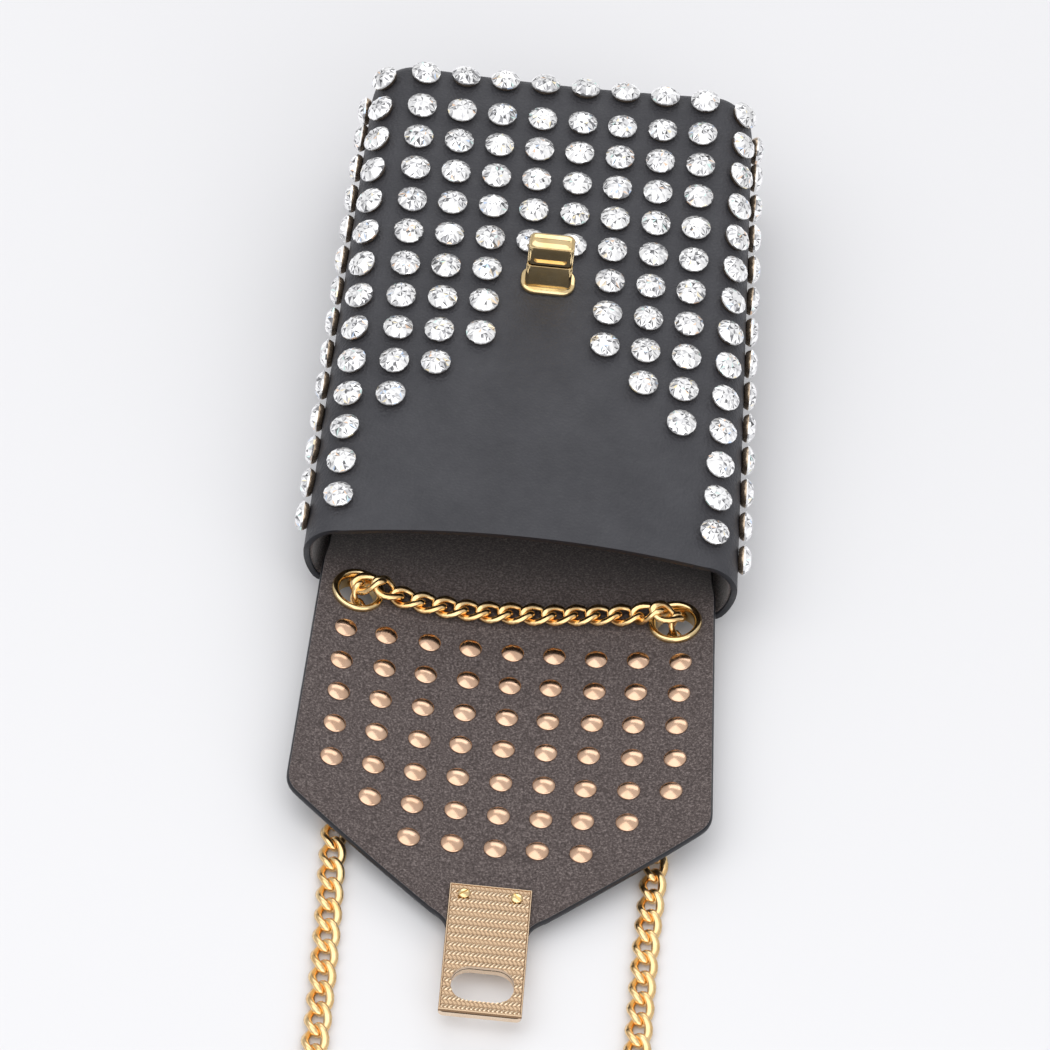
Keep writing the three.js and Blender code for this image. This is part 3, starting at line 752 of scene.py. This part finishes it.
# A skin over the body, open at the mouth and over the back panel, thickened inwards.
def body_skin(name, inset, thickness, materials, start_y):
    sections = body_rows(inset, start_y)
    rings = []
    opening = 0
    for y, ring_inset in sections:
        ring, opening = full_section(y, ring_inset)
        slide = LIP_SLIDE * (1 - smoothstep((y - start_y) / LIP_SLIDE_LENGTH))
        rings.append([(x, ring_y + slide * slide_share(y, z), z) for x, ring_y, z in ring])
    count = len(rings[0])
    verts = [p for ring in rings for p in ring]
    faces = []
    for r in range(len(rings) - 1):
        covered = sections[r][0] >= BASE_Y - BASE_ROLL - 0.01
        for c in range(count):
            if c >= opening - 1 and not covered:
                continue
            c2 = (c + 1) % count
            faces.append((r * count + c, r * count + c2, (r + 1) * count + c2, (r + 1) * count + c))
    last = (len(rings) - 1) * count
    centre = np.mean(verts[last:last + count], axis=0)
    for share in (0.66, 0.33):
        verts.extend([tuple(centre + (np.array(verts[last + c]) - centre) * share) for c in range(count)])
    end = last // count
    faces += strip_faces(3, count, wrap_columns=True, start=end * count)
    verts.append(tuple(centre))
    hub = len(verts) - 1
    faces += [((end + 2) * count + c, (end + 2) * count + (c + 1) % count, hub) for c in range(count)]
    piece = add_mesh(name, verts, faces, materials, fix=False)
    clean_open_skin(piece.data)
    solidify = piece.modifiers.new("thickness", "SOLIDIFY")
    solidify.thickness = thickness * MM
    solidify.offset = -1
    solidify.use_even_offset = True
    if len(materials) > 1:
        solidify.material_offset_rim = 1
    round_edges(piece, thickness * EDGE_ROUND, SHARP_EDGE)
    return settle(piece, SHARP_EDGE)


# Drops the unused points and turns the skin's faces outwards.
def clean_open_skin(mesh):
    bm = bmesh.new()
    bm.from_mesh(mesh)
    loose = [v for v in bm.verts if not v.link_faces]
    bmesh.ops.delete(bm, geom=loose, context="VERTS")
    bmesh.ops.recalc_face_normals(bm, faces=bm.faces)
    top = max(bm.faces, key=lambda f: f.calc_center_median().z)
    if top.normal.z < 0:
        bmesh.ops.reverse_faces(bm, faces=bm.faces)
    bm.to_mesh(mesh)
    bm.free()


def make_body():
    shell = body_skin("front_shell_leather", 0, SHELL_LEATHER, [LEATHER, EDGE], LIP_Y)
    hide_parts("front_shell")
    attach(shell, "root")
    lining = body_skin("shell_suede", SHELL_LEATHER + SUEDE_GAP, SHELL_SUEDE, [SUEDE], LIP_Y + SUEDE_SETBACK)
    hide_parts("shell_lining")
    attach(lining, "root")


make_body()


# ---- back panel, fold panel and flap: one leather and one lining, each in two lengths ----

TILT_SHIFT = 0.1  # a tilted eyelet's axis lies this far outside the middle of its box
EYELET_X = (low("eyelet_right").x + high("eyelet_right").x) / 2 + TILT_SHIFT
EYELET_Y = (low("eyelet_right").y + high("eyelet_right").y) / 2
HOLE_R = 5.3
HOLE_CUT_R = HOLE_R + 0.62
HOLE_CUT_Z = (-9, 6)


def eyelet_matrix(side):
    x = side * EYELET_X
    tilt = math.atan(2 * CUP * x / CUP_HALF_WIDTH ** 2)
    seat = Matrix.Translation((x, EYELET_Y, LINING_Z + CUP * (x / CUP_HALF_WIDTH) ** 2))
    return seat @ Matrix.Rotation(-tilt, 4, "Y")


CORE = 2.6
BORDER = 0.55
LAYER_OVERLAP = 0.25
BACK_SIDE_GAP = 0.3
BACK_WIDTH_RAMP = 10
CUP_START_Y = -50
CUP_RAMP = 33
SWAY = 0.12
PLATE_FLAT = 12  # the sheet loses its sway over this length towards the plate
COLUMNS, EDGE_STEPS = 44, 6
ROW_SPACING = 1.7
FINE_ROW_SPACING = 0.7
BACK_BEND = (-70, -90)
FLAP_BEND = (FLAP_FOLD_Y + 9, FLAP_FOLD_Y - 9)


def half_width_at(y):
    rate = (FLAP_HALF_WIDTH_CORNER - FLAP_HALF_WIDTH_FOLD) / (BACK_FOLD_Y - FLAP_CORNER_Y)
    if y > BACK_FOLD_Y:
        back = body_lerp(y, HALF_WIDTH_LIP, HALF_WIDTH_BASE) - FOOT - BACK_SIDE_GAP
        return lerp(FLAP_HALF_WIDTH_FOLD, back, smoothstep((y - BACK_FOLD_Y) / BACK_WIDTH_RAMP))
    if y > FLAP_CORNER_Y:
        return FLAP_HALF_WIDTH_FOLD + rate * (BACK_FOLD_Y - y)
    if y > SHOULDER[1]:
        part = (FLAP_CORNER_Y - y) / (FLAP_CORNER_Y - SHOULDER[1])
        return FLAP_HALF_WIDTH_CORNER - (FLAP_HALF_WIDTH_CORNER - SHOULDER[0]) * part ** 3
    if y > WAIST[1]:
        part = (SHOULDER[1] - y) / (SHOULDER[1] - WAIST[1])
        return lerp(SHOULDER[0], WAIST[0], part)
    if y > NECK[1]:
        part = (WAIST[1] - y) / (WAIST[1] - NECK[1])
        return NECK[0] + (WAIST[0] - NECK[0]) * (1 - part) ** 2
    return TONGUE_HALF_WIDTH


def cup_share(y):
    return smoothstep((CUP_START_Y - y) / CUP_RAMP)


def sheet_height(x, y):
    lift = lift_at(y) if y > BACK_FOLD_Y else LIFT
    sway = SWAY * math.sin(x / 13 + y / 31) * math.sin(y / 17 - x / 29)
    free = smoothstep((y - PLATE_TOP_Y) / PLATE_FLAT)
    return lift + CUP * (x / CUP_HALF_WIDTH) ** 2 * cup_share(y) + sway * free * cup_share(y)


# Where a sheet's cross-sections lie, closer together at the flap's corners and neck.
def rows_for(start, end):
    stops = [start]
    edges = [y for y in (FLAP_CORNER_Y, SHOULDER[1], WAIST[1], NECK[1], NECK[1] - 0.3) if end < y < start]
    for stop in [*edges, end]:
        begin = stops[-1]
        at_corner = begin <= FLAP_CORNER_Y and stop >= SHOULDER[1]
        fine = at_corner or begin <= WAIST[1]
        spacing = FINE_ROW_SPACING if fine else ROW_SPACING
        count = max(1, math.ceil((begin - stop) / spacing))
        stops += [lerp(begin, stop, (i + 1) / count) for i in range(count)]
    return stops


# A sheet with rounded side edges between heights bottom and top above the sheet's underside.
def panel(name, start, end, bottom, top, margin, materials):
    radius = (top - bottom) / 2
    rings = []
    for y in rows_for(start, end):
        half = max(half_width_at(y) - margin, 2)
        inner = half - radius
        across = []
        for i in range(COLUMNS + 1):
            across.append((lerp(-inner, inner, i / COLUMNS), bottom))
        for i in range(1, EDGE_STEPS):
            turn = -math.pi / 2 + math.pi * i / EDGE_STEPS
            across.append((inner + radius * math.cos(turn), bottom + radius + radius * math.sin(turn)))
        for i in range(COLUMNS + 1):
            across.append((lerp(inner, -inner, i / COLUMNS), top))
        for i in range(1, EDGE_STEPS):
            turn = math.pi / 2 + math.pi * i / EDGE_STEPS
            across.append((-inner + radius * math.cos(turn), bottom + radius + radius * math.sin(turn)))
        rings.append([(x, y, sheet_height(x, y) + z) for x, z in across])
    # Every cross-section has its edge points at the same places in its row.
    is_edge = [abs(x) > inner - 0.01 or z > bottom + 0.01 for x, z in across]
    count = len(rings[0])
    verts = [p for ring in rings for p in ring]
    faces = strip_faces(len(rings), count, wrap_columns=True)
    slots = [int(is_edge[f[0] % count] and is_edge[f[1] % count]) for f in faces]
    faces.append(tuple(range(count)))
    faces.append(tuple(range(len(verts) - count, len(verts))))
    slots += [len(materials) - 1] * 2
    slots = [min(s, len(materials) - 1) for s in slots]
    return add_mesh(name, verts, faces, materials, slots, sharp=50)


def make_panels():
    base = BASE_Y - BASE_ROLL - BACK_SIDE_GAP
    spans = {
        "back": (base, SPLIT_Y, "root", "fold", BACK_BEND),
        "flap": (SPLIT_Y, TONGUE_END_Y, "fold", "flap", FLAP_BEND),
    }
    nodes = {
        "back": (["back_panel", "back_board", "fold_leather"], ["back_lining", "fold_lining"]),
        "flap": (["flap_leather", "flap_board"], ["flap_lining"]),
    }
    for part, (start, end, a, b, between) in spans.items():
        outer = panel(part + "_sheet_leather", start, end, 0, CORE, 0, [LEATHER, EDGE])
        inner = panel(part + "_sheet_suede", start, end, CORE - LAYER_OVERLAP, SHEET, BORDER, [SUEDE])
        for piece, slot, stood_for in zip((outer, inner), ("leather", "lining"), nodes[part]):
            if part == "back":
                cut_eyelet_holes(piece)
            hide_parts(*stood_for)
            bend(piece)


def cut_eyelet_holes(piece):
    for side in (-1, 1):
        verts, faces = turned(rod(HOLE_CUT_R, *HOLE_CUT_Z), 48)
        cutter = add_mesh("hole_cutter", apply_matrix(verts, eyelet_matrix(side)), faces, [EDGE])
        cut_away(piece, cutter)


def bend(piece):
    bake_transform(piece)


make_panels()


# ---- crystals and caps ----

PITCH = 11.5
FIRST_ROW = 10.9
ROWS = 14
SURFACE_STRETCH = 1.006
SIDE_COLUMN = 12.8
COLUMN_COUNTS = [(0.5, 6), (1.5, 9), (2.5, 10), (3.5, 11), (4.5, ROWS)]  # pitches from the middle, crystals
STONE_TILT = 0.05
STUD_JITTER = 0.25
STUD_SINK = 0.02
TOP_ROW_SHIFT = (1.8, -1.2)
STONE_R = 4.15
STUD_R = 4.02

CUP_PROFILE = [(0, 0), (2.9, 0), (3.4, 0.2), (3.85, 0.9), (STUD_R, 1.4), (STUD_R, 1.75), (3.8, 1.85),
               (3.7, 1.5), (0, 1.3)]
GIRDLE_Z, BREAK_Z, TABLE_Z = 1.95, 3.1, 3.55
BREAK_R, TABLE_R = 2.95, 1.9
GIRDLE_DEPTH = 0.45
FACET_LIFT = 1.012  # a crown facet's middle stands out by this factor

# Painted reflections and shade on the crystals' facets: share of the facets up to each tone, its darkest and
# brightest value, and its blue. The glints are painted coloured highlights.
FACET_REFLECTION_TONES = [(0.50, 0.92, 1.0, 1.0), (0.78, 0.5, 0.85, 1.02), (0.96, 0.08, 0.35, 1.05)]
FACET_GLINTS = [(0.6, 0.75, 1.0, 1), (1.0, 0.88, 0.6, 1), (1.0, 0.7, 0.5, 1), (0.7, 0.95, 0.9, 1)]


def stone():
    verts = [(0, 0, TABLE_Z)]
    for radius, z, count, shift in ((TABLE_R, TABLE_Z, 8, 0), (BREAK_R, BREAK_Z, 8, 0.5),
                                    (STONE_R, GIRDLE_Z, 16, 0), (STONE_R, GIRDLE_Z - GIRDLE_DEPTH, 16, 0)):
        for i in range(count):
            turn = 2 * math.pi * (i + shift) / count
            verts.append((radius * math.cos(turn), radius * math.sin(turn), z))
    table, broken, girdle, foot = 1, 9, 17, 33
    faces = []
    for i in range(8):
        j = (i + 1) % 8
        before = (i - 1) % 8
        faces.append((0, table + i, table + j))
        faces.append((table + i, broken + i, table + j))
        faces.append((table + i, broken + before, girdle + 2 * i))
        faces.append((table + i, girdle + 2 * i, broken + i))
        faces.append((broken + i, girdle + 2 * i, girdle + 2 * i + 1))
        faces.append((broken + i, girdle + 2 * i + 1, girdle + (2 * i + 2) % 16))
    pieces = []
    for a, b, c in faces:
        corners = np.array((verts[a], verts[b], verts[c]))
        pieces += [(a, b, len(verts)), (b, c, len(verts)), (c, a, len(verts))]
        lift = FACET_LIFT if a != 0 else 1.0
        verts.append(tuple(corners.mean(axis=0) * (lift, lift, 1.0)))
    for i in range(16):
        j = (i + 1) % 16
        pieces.append((girdle + i, foot + i, foot + j, girdle + j))
    pieces.append(tuple(range(foot, foot + 16)))
    return np.array(verts, float), pieces


# Paints one facet with a reflection: a bright, mid or dark grey, or a coloured glint.
def painted_facet_reflection():
    pick = rng.random()
    for share, darkest, brightest, blue in FACET_REFLECTION_TONES:
        if pick < share:
            tone = rng.uniform(darkest, brightest)
            return (tone, tone, tone * blue, 1)
    return rng.choice(FACET_GLINTS)


def add_crystals(name, matrices):
    cup_verts, cup_faces = scatter(*turned(CUP_PROFILE, 24), matrices)
    cups = add_mesh(name + "_cups", cup_verts, cup_faces, [BRONZE], sharp=60)
    verts, faces = scatter(*stone(), matrices)
    stones = add_mesh(name + "_stones", verts, faces, [CRYSTAL], sharp=1)
    # Each facet gets its painted reflection colour in the facet attribute.
    layer = stones.data.color_attributes.new("facet", "FLOAT_COLOR", "CORNER")
    colors = []
    for face in stones.data.polygons:
        color = painted_facet_reflection()
        colors += list(color) * face.loop_total
    layer.data.foreach_set("color", colors)
    return [cups, stones]


# The point on the body at a distance from the mouth and an arc outwards from the centre line.
def point_on_body(distance, arc):
    y = LIP_Y + distance / SURFACE_STRETCH
    beyond = max(y - (BASE_Y - BASE_ROLL), 0)
    turn = math.asin(min(beyond / BASE_ROLL, 1))
    half = half_section(y, BASE_ROLL * (1 - math.cos(turn)))[::-1]
    line = np.array(half)
    walked = np.concatenate([[0], np.cumsum(np.linalg.norm(np.diff(line, axis=0), axis=1))])
    x = np.interp(arc, walked, line[:, 0])
    z = np.interp(arc, walked, line[:, 1])
    return Vector((x, y, z))


def body_placements():
    arcs = [(share * PITCH, count) for share, count in COLUMN_COUNTS]
    arcs.append((arcs[-1][0] + SIDE_COLUMN, ROWS))
    placements = []
    for arc, count in arcs:
        for row in range(count):
            distance = FIRST_ROW + (ROWS - 1 - row) * PITCH
            if row == 0:
                distance += lerp(*TOP_ROW_SHIFT, (arc / arcs[-1][0]) ** 2)
            point = point_on_body(distance, arc)
            along = point_on_body(distance + 0.5, arc) - point_on_body(distance - 0.5, arc)
            around = point_on_body(distance, arc + 0.5) - point_on_body(distance, arc - 0.5)
            normal = around.cross(along).normalized()
            for side in (1, -1):
                mirrored = Vector((side * point.x, point.y, point.z))
                out = Vector((side * normal.x, normal.y, normal.z))
                tilt = Vector([rng.uniform(-STONE_TILT, STONE_TILT) for _ in range(3)])
                placements.append(standing(mirrored, out + tilt, rng.uniform(0, math.tau)))
    return placements


# y of each row on the flap, and how many studs it has on each side of the middle one
FLAP_ROWS = [(-102.0, 4), (-113.5, 4), (-125.0, 4), (-136.5, 4), (-148.0, 4), (-159.5, 3), (-171.0, 2)]
CAP_R = 3.12
CAP_RISE = 0.85
CAP_EDGE = 0.42
CAP_PROFILE = [(0, 0), (CAP_R - 0.1, 0), (CAP_R, 0.1), (CAP_R, CAP_EDGE - 0.12), (CAP_R - 0.12, CAP_EDGE)]
CAP_PROFILE += [(r, CAP_EDGE + CAP_RISE * (1 - (r / CAP_R) ** 2)) for r in np.linspace(CAP_R - 0.3, 0, 10)]


def flap_placements(rows, z_offset, side):
    placements = []
    for y, reach in rows:
        for k in range(-reach, reach + 1):
            x = k * PITCH + rng.uniform(-STUD_JITTER, STUD_JITTER)
            at_y = y + rng.uniform(-STUD_JITTER, STUD_JITTER)
            slope = 2 * CUP * x / CUP_HALF_WIDTH ** 2
            normal = Vector((-slope, 0, 1)) * side
            point = (x, at_y, sheet_height(x, at_y) + z_offset)
            placements.append(standing(point, normal, rng.uniform(0, math.tau)))
    return placements


def make_studs():
    for piece in add_crystals("body_crystals", body_placements()):
        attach(piece, "root")
    groups = {"fold": FLAP_ROWS[:1], "bend": FLAP_ROWS[1:3], "flap": FLAP_ROWS[3:]}
    for group, rows in groups.items():
        caps = scatter(*turned(CAP_PROFILE, 28), flap_placements(rows, SHEET - STUD_SINK, 1))
        pieces = [add_mesh(group + "_caps", *caps, [ROSE], sharp=50)]
        pieces += add_crystals(group + "_crystals", flap_placements(rows, STUD_SINK, -1))
        for piece in pieces:
            if group == "bend":
                bend(piece)
            else:
                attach(piece, group)


make_studs()


# ---- eyelets ----

EYELET_PROFILE = [
    (HOLE_R, -4.3), (HOLE_R, -0.2), (5.42, 0.5), (5.68, 1.0), (6.05, 1.3), (6.45, 1.42),
    (6.9, 1.38), (7.2, 1.12), (7.38, 0.75), (7.42, 0.4), (7.35, 0.02), (5.9, 0.0), (5.88, -4.3),
]


def make_eyelets():
    for name, side in (("left", -1), ("right", 1)):
        verts, faces = turned(EYELET_PROFILE, 64, closed=True)
        verts = apply_matrix(verts, eyelet_matrix(side))
        piece = add_mesh("eyelet_ring_" + name, verts, faces, [GOLD], sharp=60)
        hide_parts("eyelet_" + name)
        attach(piece, "fold")


make_eyelets()


# ---- turn lock ----

FLANGE = (15.4, 9.6)
BOSS = (12.9, 6.2)
HEAD = (12.9, 5.8)
LOCK_FOOT = 0.1
BOSS_TOP = 10.4
HEAD_LOW = 10.7
HEAD_TOP = 19.0
RECESS = (9.4, 3.9)
RECESS_Z = HEAD_LOW + 3.0
STEM_R = 1.8


def lock_matrix():
    axis = Vector(JOINTS["knob_turn"]["axis"])
    return standing((0, LOCK_Y, front_height(LOCK_Y)), axis)


def make_turn_lock():
    matrix = lock_matrix()
    plinth = stacked(lambda g: rounded_outline(FLANGE[0] + g, FLANGE[1] + g, 4 + g / 2, 10),
                     [(-0.3, LOCK_FOOT), (0, 0.3), (0, 0.9), (-0.25, 1.25), (-0.8, 1.45)])
    column = stacked(lambda g: rounded_outline(BOSS[0] + g, BOSS[1] + g, 1.3, 6),
                     [(0.5, 1.2), (0.1, 1.5), (0, 2.0), (0, BOSS_TOP - 0.3), (-0.3, BOSS_TOP)])
    for name, (verts, faces) in (("lock_flange", plinth), ("lock_column", column)):
        piece = add_mesh(name, apply_matrix(verts, matrix), faces, [GOLD], sharp=40)
        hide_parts("lock_base")
        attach(piece, "root")

    head = stacked(lambda g: rounded_outline(HEAD[0] + g, HEAD[1] + g, 1.5, 8),
                   [(-0.5, HEAD_LOW), (0, HEAD_LOW + 0.35), (0, HEAD_TOP - 2.2), (-0.2, HEAD_TOP - 1.4),
                    (-0.7, HEAD_TOP - 0.7), (-1.6, HEAD_TOP - 0.25), (-3.0, HEAD_TOP)])
    knob = add_mesh("turn_knob_head", head[0], head[1], [GOLD], sharp=40)
    for side in (-1, 1):
        recess = stacked(lambda g: rounded_outline(RECESS[0] + g, RECESS[1] + g, 0.9, 5),
                         [(0, -1), (-0.5, 0.6)])
        turn = Matrix.Translation((0, side * (HEAD[1] / 2), RECESS_Z))
        turn = turn @ Matrix.Rotation(math.radians(90 * side), 4, "X")
        cut_away(knob, add_mesh("recess", apply_matrix(recess[0], turn), recess[1], [GOLD]))
    knob.data.transform(Matrix.Scale(1 / MM, 4))
    knob.data.transform(matrix)
    knob.data.transform(Matrix.Scale(MM, 4))
    stem, stem_faces = turned(rod(STEM_R, BOSS_TOP - 1, HEAD_LOW + 1), 32)
    post = add_mesh("turn_knob_stem", apply_matrix(stem, matrix), stem_faces, [GOLD], sharp=40)
    for piece in (knob, post):
        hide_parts("turn_knob")
        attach(piece, "turn_knob")


make_turn_lock()


# ---- lock plates on the flap ----

SLOT_Y = -218.2
SLOT_SIZE = (16.6, 11.4)
EMBOSS_ROW = 1.5
EMBOSS_PITCH = 1.14
EMBOSS_DEPTH = 0.42
LOW_ROW = 0.35  # every second row of lozenges is this much of the depth
LOZENGE_LEAN = 0.8
PLATE_BORDER = 0.45
PLATE_STEP = 0.17


# Rows of slanting lozenges, the slant changing from row to row.
def embossing(x, y):
    row = math.floor(y / EMBOSS_ROW)
    within = y / EMBOSS_ROW - row
    lean = 1 if row % 2 else -1
    phase = (x + lean * within * EMBOSS_ROW * LOZENGE_LEAN) / EMBOSS_PITCH
    ridge = abs(math.sin(math.pi * phase))
    return EMBOSS_DEPTH * (LOW_ROW if row % 2 else 1) * ridge * math.sin(math.pi * within) ** 0.6


def make_inner_plate():
    length = PLATE_TOP_Y - PLATE_END_Y
    centre_y = (PLATE_TOP_Y + PLATE_END_Y) / 2
    inner_x = PLATE_WIDTH / 2 - PLATE_BORDER
    inner_y = length / 2 - PLATE_BORDER
    columns = round((PLATE_WIDTH - 2 * PLATE_BORDER) / PLATE_STEP) + 1
    rows = round((length - 2 * PLATE_BORDER) / PLATE_STEP) + 1
    verts = []
    for r in range(rows):
        y = lerp(-inner_y, inner_y, r / (rows - 1))
        for c in range(columns):
            x = lerp(-inner_x, inner_x, c / (columns - 1))
            inside = 0 < r < rows - 1 and 0 < c < columns - 1
            height = EMBOSS_Z + (embossing(x, y) if inside else 0)
            verts.append((x, centre_y + y, height))
    faces = strip_faces(rows, columns)
    loop = list(range(columns))
    loop += [r * columns + columns - 1 for r in range(1, rows)]
    loop += [(rows - 1) * columns + c for c in range(columns - 2, -1, -1)]
    loop += [r * columns for r in range(rows - 2, 0, -1)]
    rim = [(0.08, PLATE_HIGH_Z), (0.3, PLATE_HIGH_Z), (PLATE_BORDER, EMBOSS_Z), (PLATE_BORDER, PLATE_LOW_Z)]
    ring = loop
    for grow, z in rim:
        start = len(verts)
        for i in loop:
            x, y, _ = verts[i]
            dy = y - centre_y
            x += math.copysign(grow, x) if abs(x) > inner_x - 0.01 else 0
            y += math.copysign(grow, dy) if abs(dy) > inner_y - 0.01 else 0
            verts.append((x, y, z))
        count = len(loop)
        for k in range(count):
            k2 = (k + 1) % count
            faces.append((ring[k], start + k, start + k2, ring[k2]))
        ring = [start + k for k in range(count)]
    faces.append(tuple(ring))
    plate = add_mesh("lock_plate_embossed", verts, faces, [EMBOSSED, CHAMPAGNE], sharp=28)
    hole, hole_faces = stacked(lambda g: rounded_outline(SLOT_SIZE[0] + g, SLOT_SIZE[1] + g, 5.0, 12),
                               [(0, -3), (0, 6)])
    hole += np.array((0, SLOT_Y, PLATE_LOW_Z))
    cut_away(plate, add_mesh("slot_cutter", hole, hole_faces, [CHAMPAGNE]))
    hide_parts("lock_plate")
    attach(plate, "flap")


SCREW_SLOT = (4, 0.42)
SCREW_PROFILE = [(0, -3.2), (0.9, -3.2), (0.9, 0.05), (1.5, 0.05), (1.6, 0.2), (1.58, 0.5), (1.35, 0.75),
                 (0.9, 0.9), (0, 0.95)]


def make_screws():
    for name, side in (("left", -1), ("right", 1)):
        centre = (low("plate_screw_" + name) + high("plate_screw_" + name)) / 2
        verts, faces = turned(SCREW_PROFILE, 32)
        piece = add_mesh("plate_screw_head_" + name, verts, faces, [GOLD], sharp=40)
        groove, groove_faces = stacked(lambda g: rounded_outline(*SCREW_SLOT, 0.05, 2), [(0, 0.55), (0, 2)])
        cut_away(piece, add_mesh("groove", groove, groove_faces, [GOLD]))
        spin = Matrix.Translation(Vector((centre.x, centre.y, PLATE_HIGH_Z - 0.02)) * MM)
        piece.data.transform(spin @ Matrix.Rotation(rng.uniform(0, math.pi), 4, "Z"))
        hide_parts("plate_screw_" + name)
        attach(piece, "flap")


make_inner_plate()
make_screws()


# ---- CAD pieces that stay ----

def dress(node, material, bevel=0.0):
    piece = frame["nodes"][node]
    piece.data.materials.clear()
    piece.data.materials.append(material)
    shade(piece.data, 35)
    if bevel:
        round_edges(piece, bevel, 35).harden_normals = True


dress("lock_frame", CHAMPAGNE, 0.3)
dress("eyelet_washer_left", GOLD, 0.15)
dress("eyelet_washer_right", GOLD, 0.15)
dress("lock_washer", STEEL, 0.15)
dress("knob_clip", STEEL, 0.1)
dress("base_board", BOARD)


# ---- floor, light and surroundings ----

FLOOR_REACH = 30.0  # metres each way
WORLD_STRENGTH = 0.785
WORLD_BLUE = 1.01
WORLD_TONES = [(0.0, 0.62), (0.25, 0.62), (0.45, 0.76), (0.8, 1.0)]  # from below to overhead


def make_floor():
    mesh = bpy.data.meshes.new("floor")
    corners = [(x * FLOOR_REACH, y * FLOOR_REACH, 0) for x, y in ((-1, -1), (1, -1), (1, 1), (-1, 1))]
    mesh.from_pydata(corners, [], [(0, 1, 2, 3)])
    s = Surface("white_paper", (0.80, 0.80, 0.815), 0.9, Specular_IOR_Level=0.1)
    s.color(s.ramp(s.noise(400, 2), [(0.3, (0.795, 0.795, 0.812)), (0.7, (0.81, 0.81, 0.825))]))
    mesh.materials.append(s.material)
    floor = bpy.data.objects.new("floor", mesh)
    scene.collection.objects.link(floor)


# Places and sizes of the lights are in metres.
def area_light(name, place, aim, size, power):
    data = bpy.data.lights.new(name, "AREA")
    data.shape = "RECTANGLE"
    data.size, data.size_y = size
    data.energy = power
    light = bpy.data.objects.new(name, data)
    light.location = place
    direction = Vector(aim) - Vector(place)
    light.rotation_euler = direction.to_track_quat("-Z", "Y").to_euler()
    scene.collection.objects.link(light)


def make_world():
    world = bpy.data.worlds.new("studio")
    world.use_nodes = True
    nodes, links = world.node_tree.nodes, world.node_tree.links
    nodes.clear()
    coordinate = nodes.new("ShaderNodeTexCoord")
    split = nodes.new("ShaderNodeSeparateXYZ")
    ramp = nodes.new("ShaderNodeValToRGB")
    background = nodes.new("ShaderNodeBackground")
    output = nodes.new("ShaderNodeOutputWorld")
    links.new(coordinate.outputs["Generated"], split.inputs[0])
    links.new(split.outputs["Z"], ramp.inputs["Fac"])
    set_stops(ramp, [(position, (tone, tone, tone * WORLD_BLUE)) for position, tone in WORLD_TONES])
    background.inputs["Strength"].default_value = WORLD_STRENGTH
    links.new(ramp.outputs["Color"], background.inputs["Color"])
    links.new(background.outputs[0], output.inputs["Surface"])
    scene.world = world


make_floor()
make_world()
area_light("key", (-0.5, -0.5, 1.5), (0, -0.05, 0), (2.0, 2.0), 12)
area_light("fill", (0.6, -1.4, 0.8), (0, -0.08, 0.02), (1.8, 1.2), 7.5)
area_light("back", (0.2, 1.4, 1.2), (0, -0.05, 0), (1.6, 0.8), 5)
scene.view_settings.view_transform = "Standard"
scene.view_settings.look = "None"
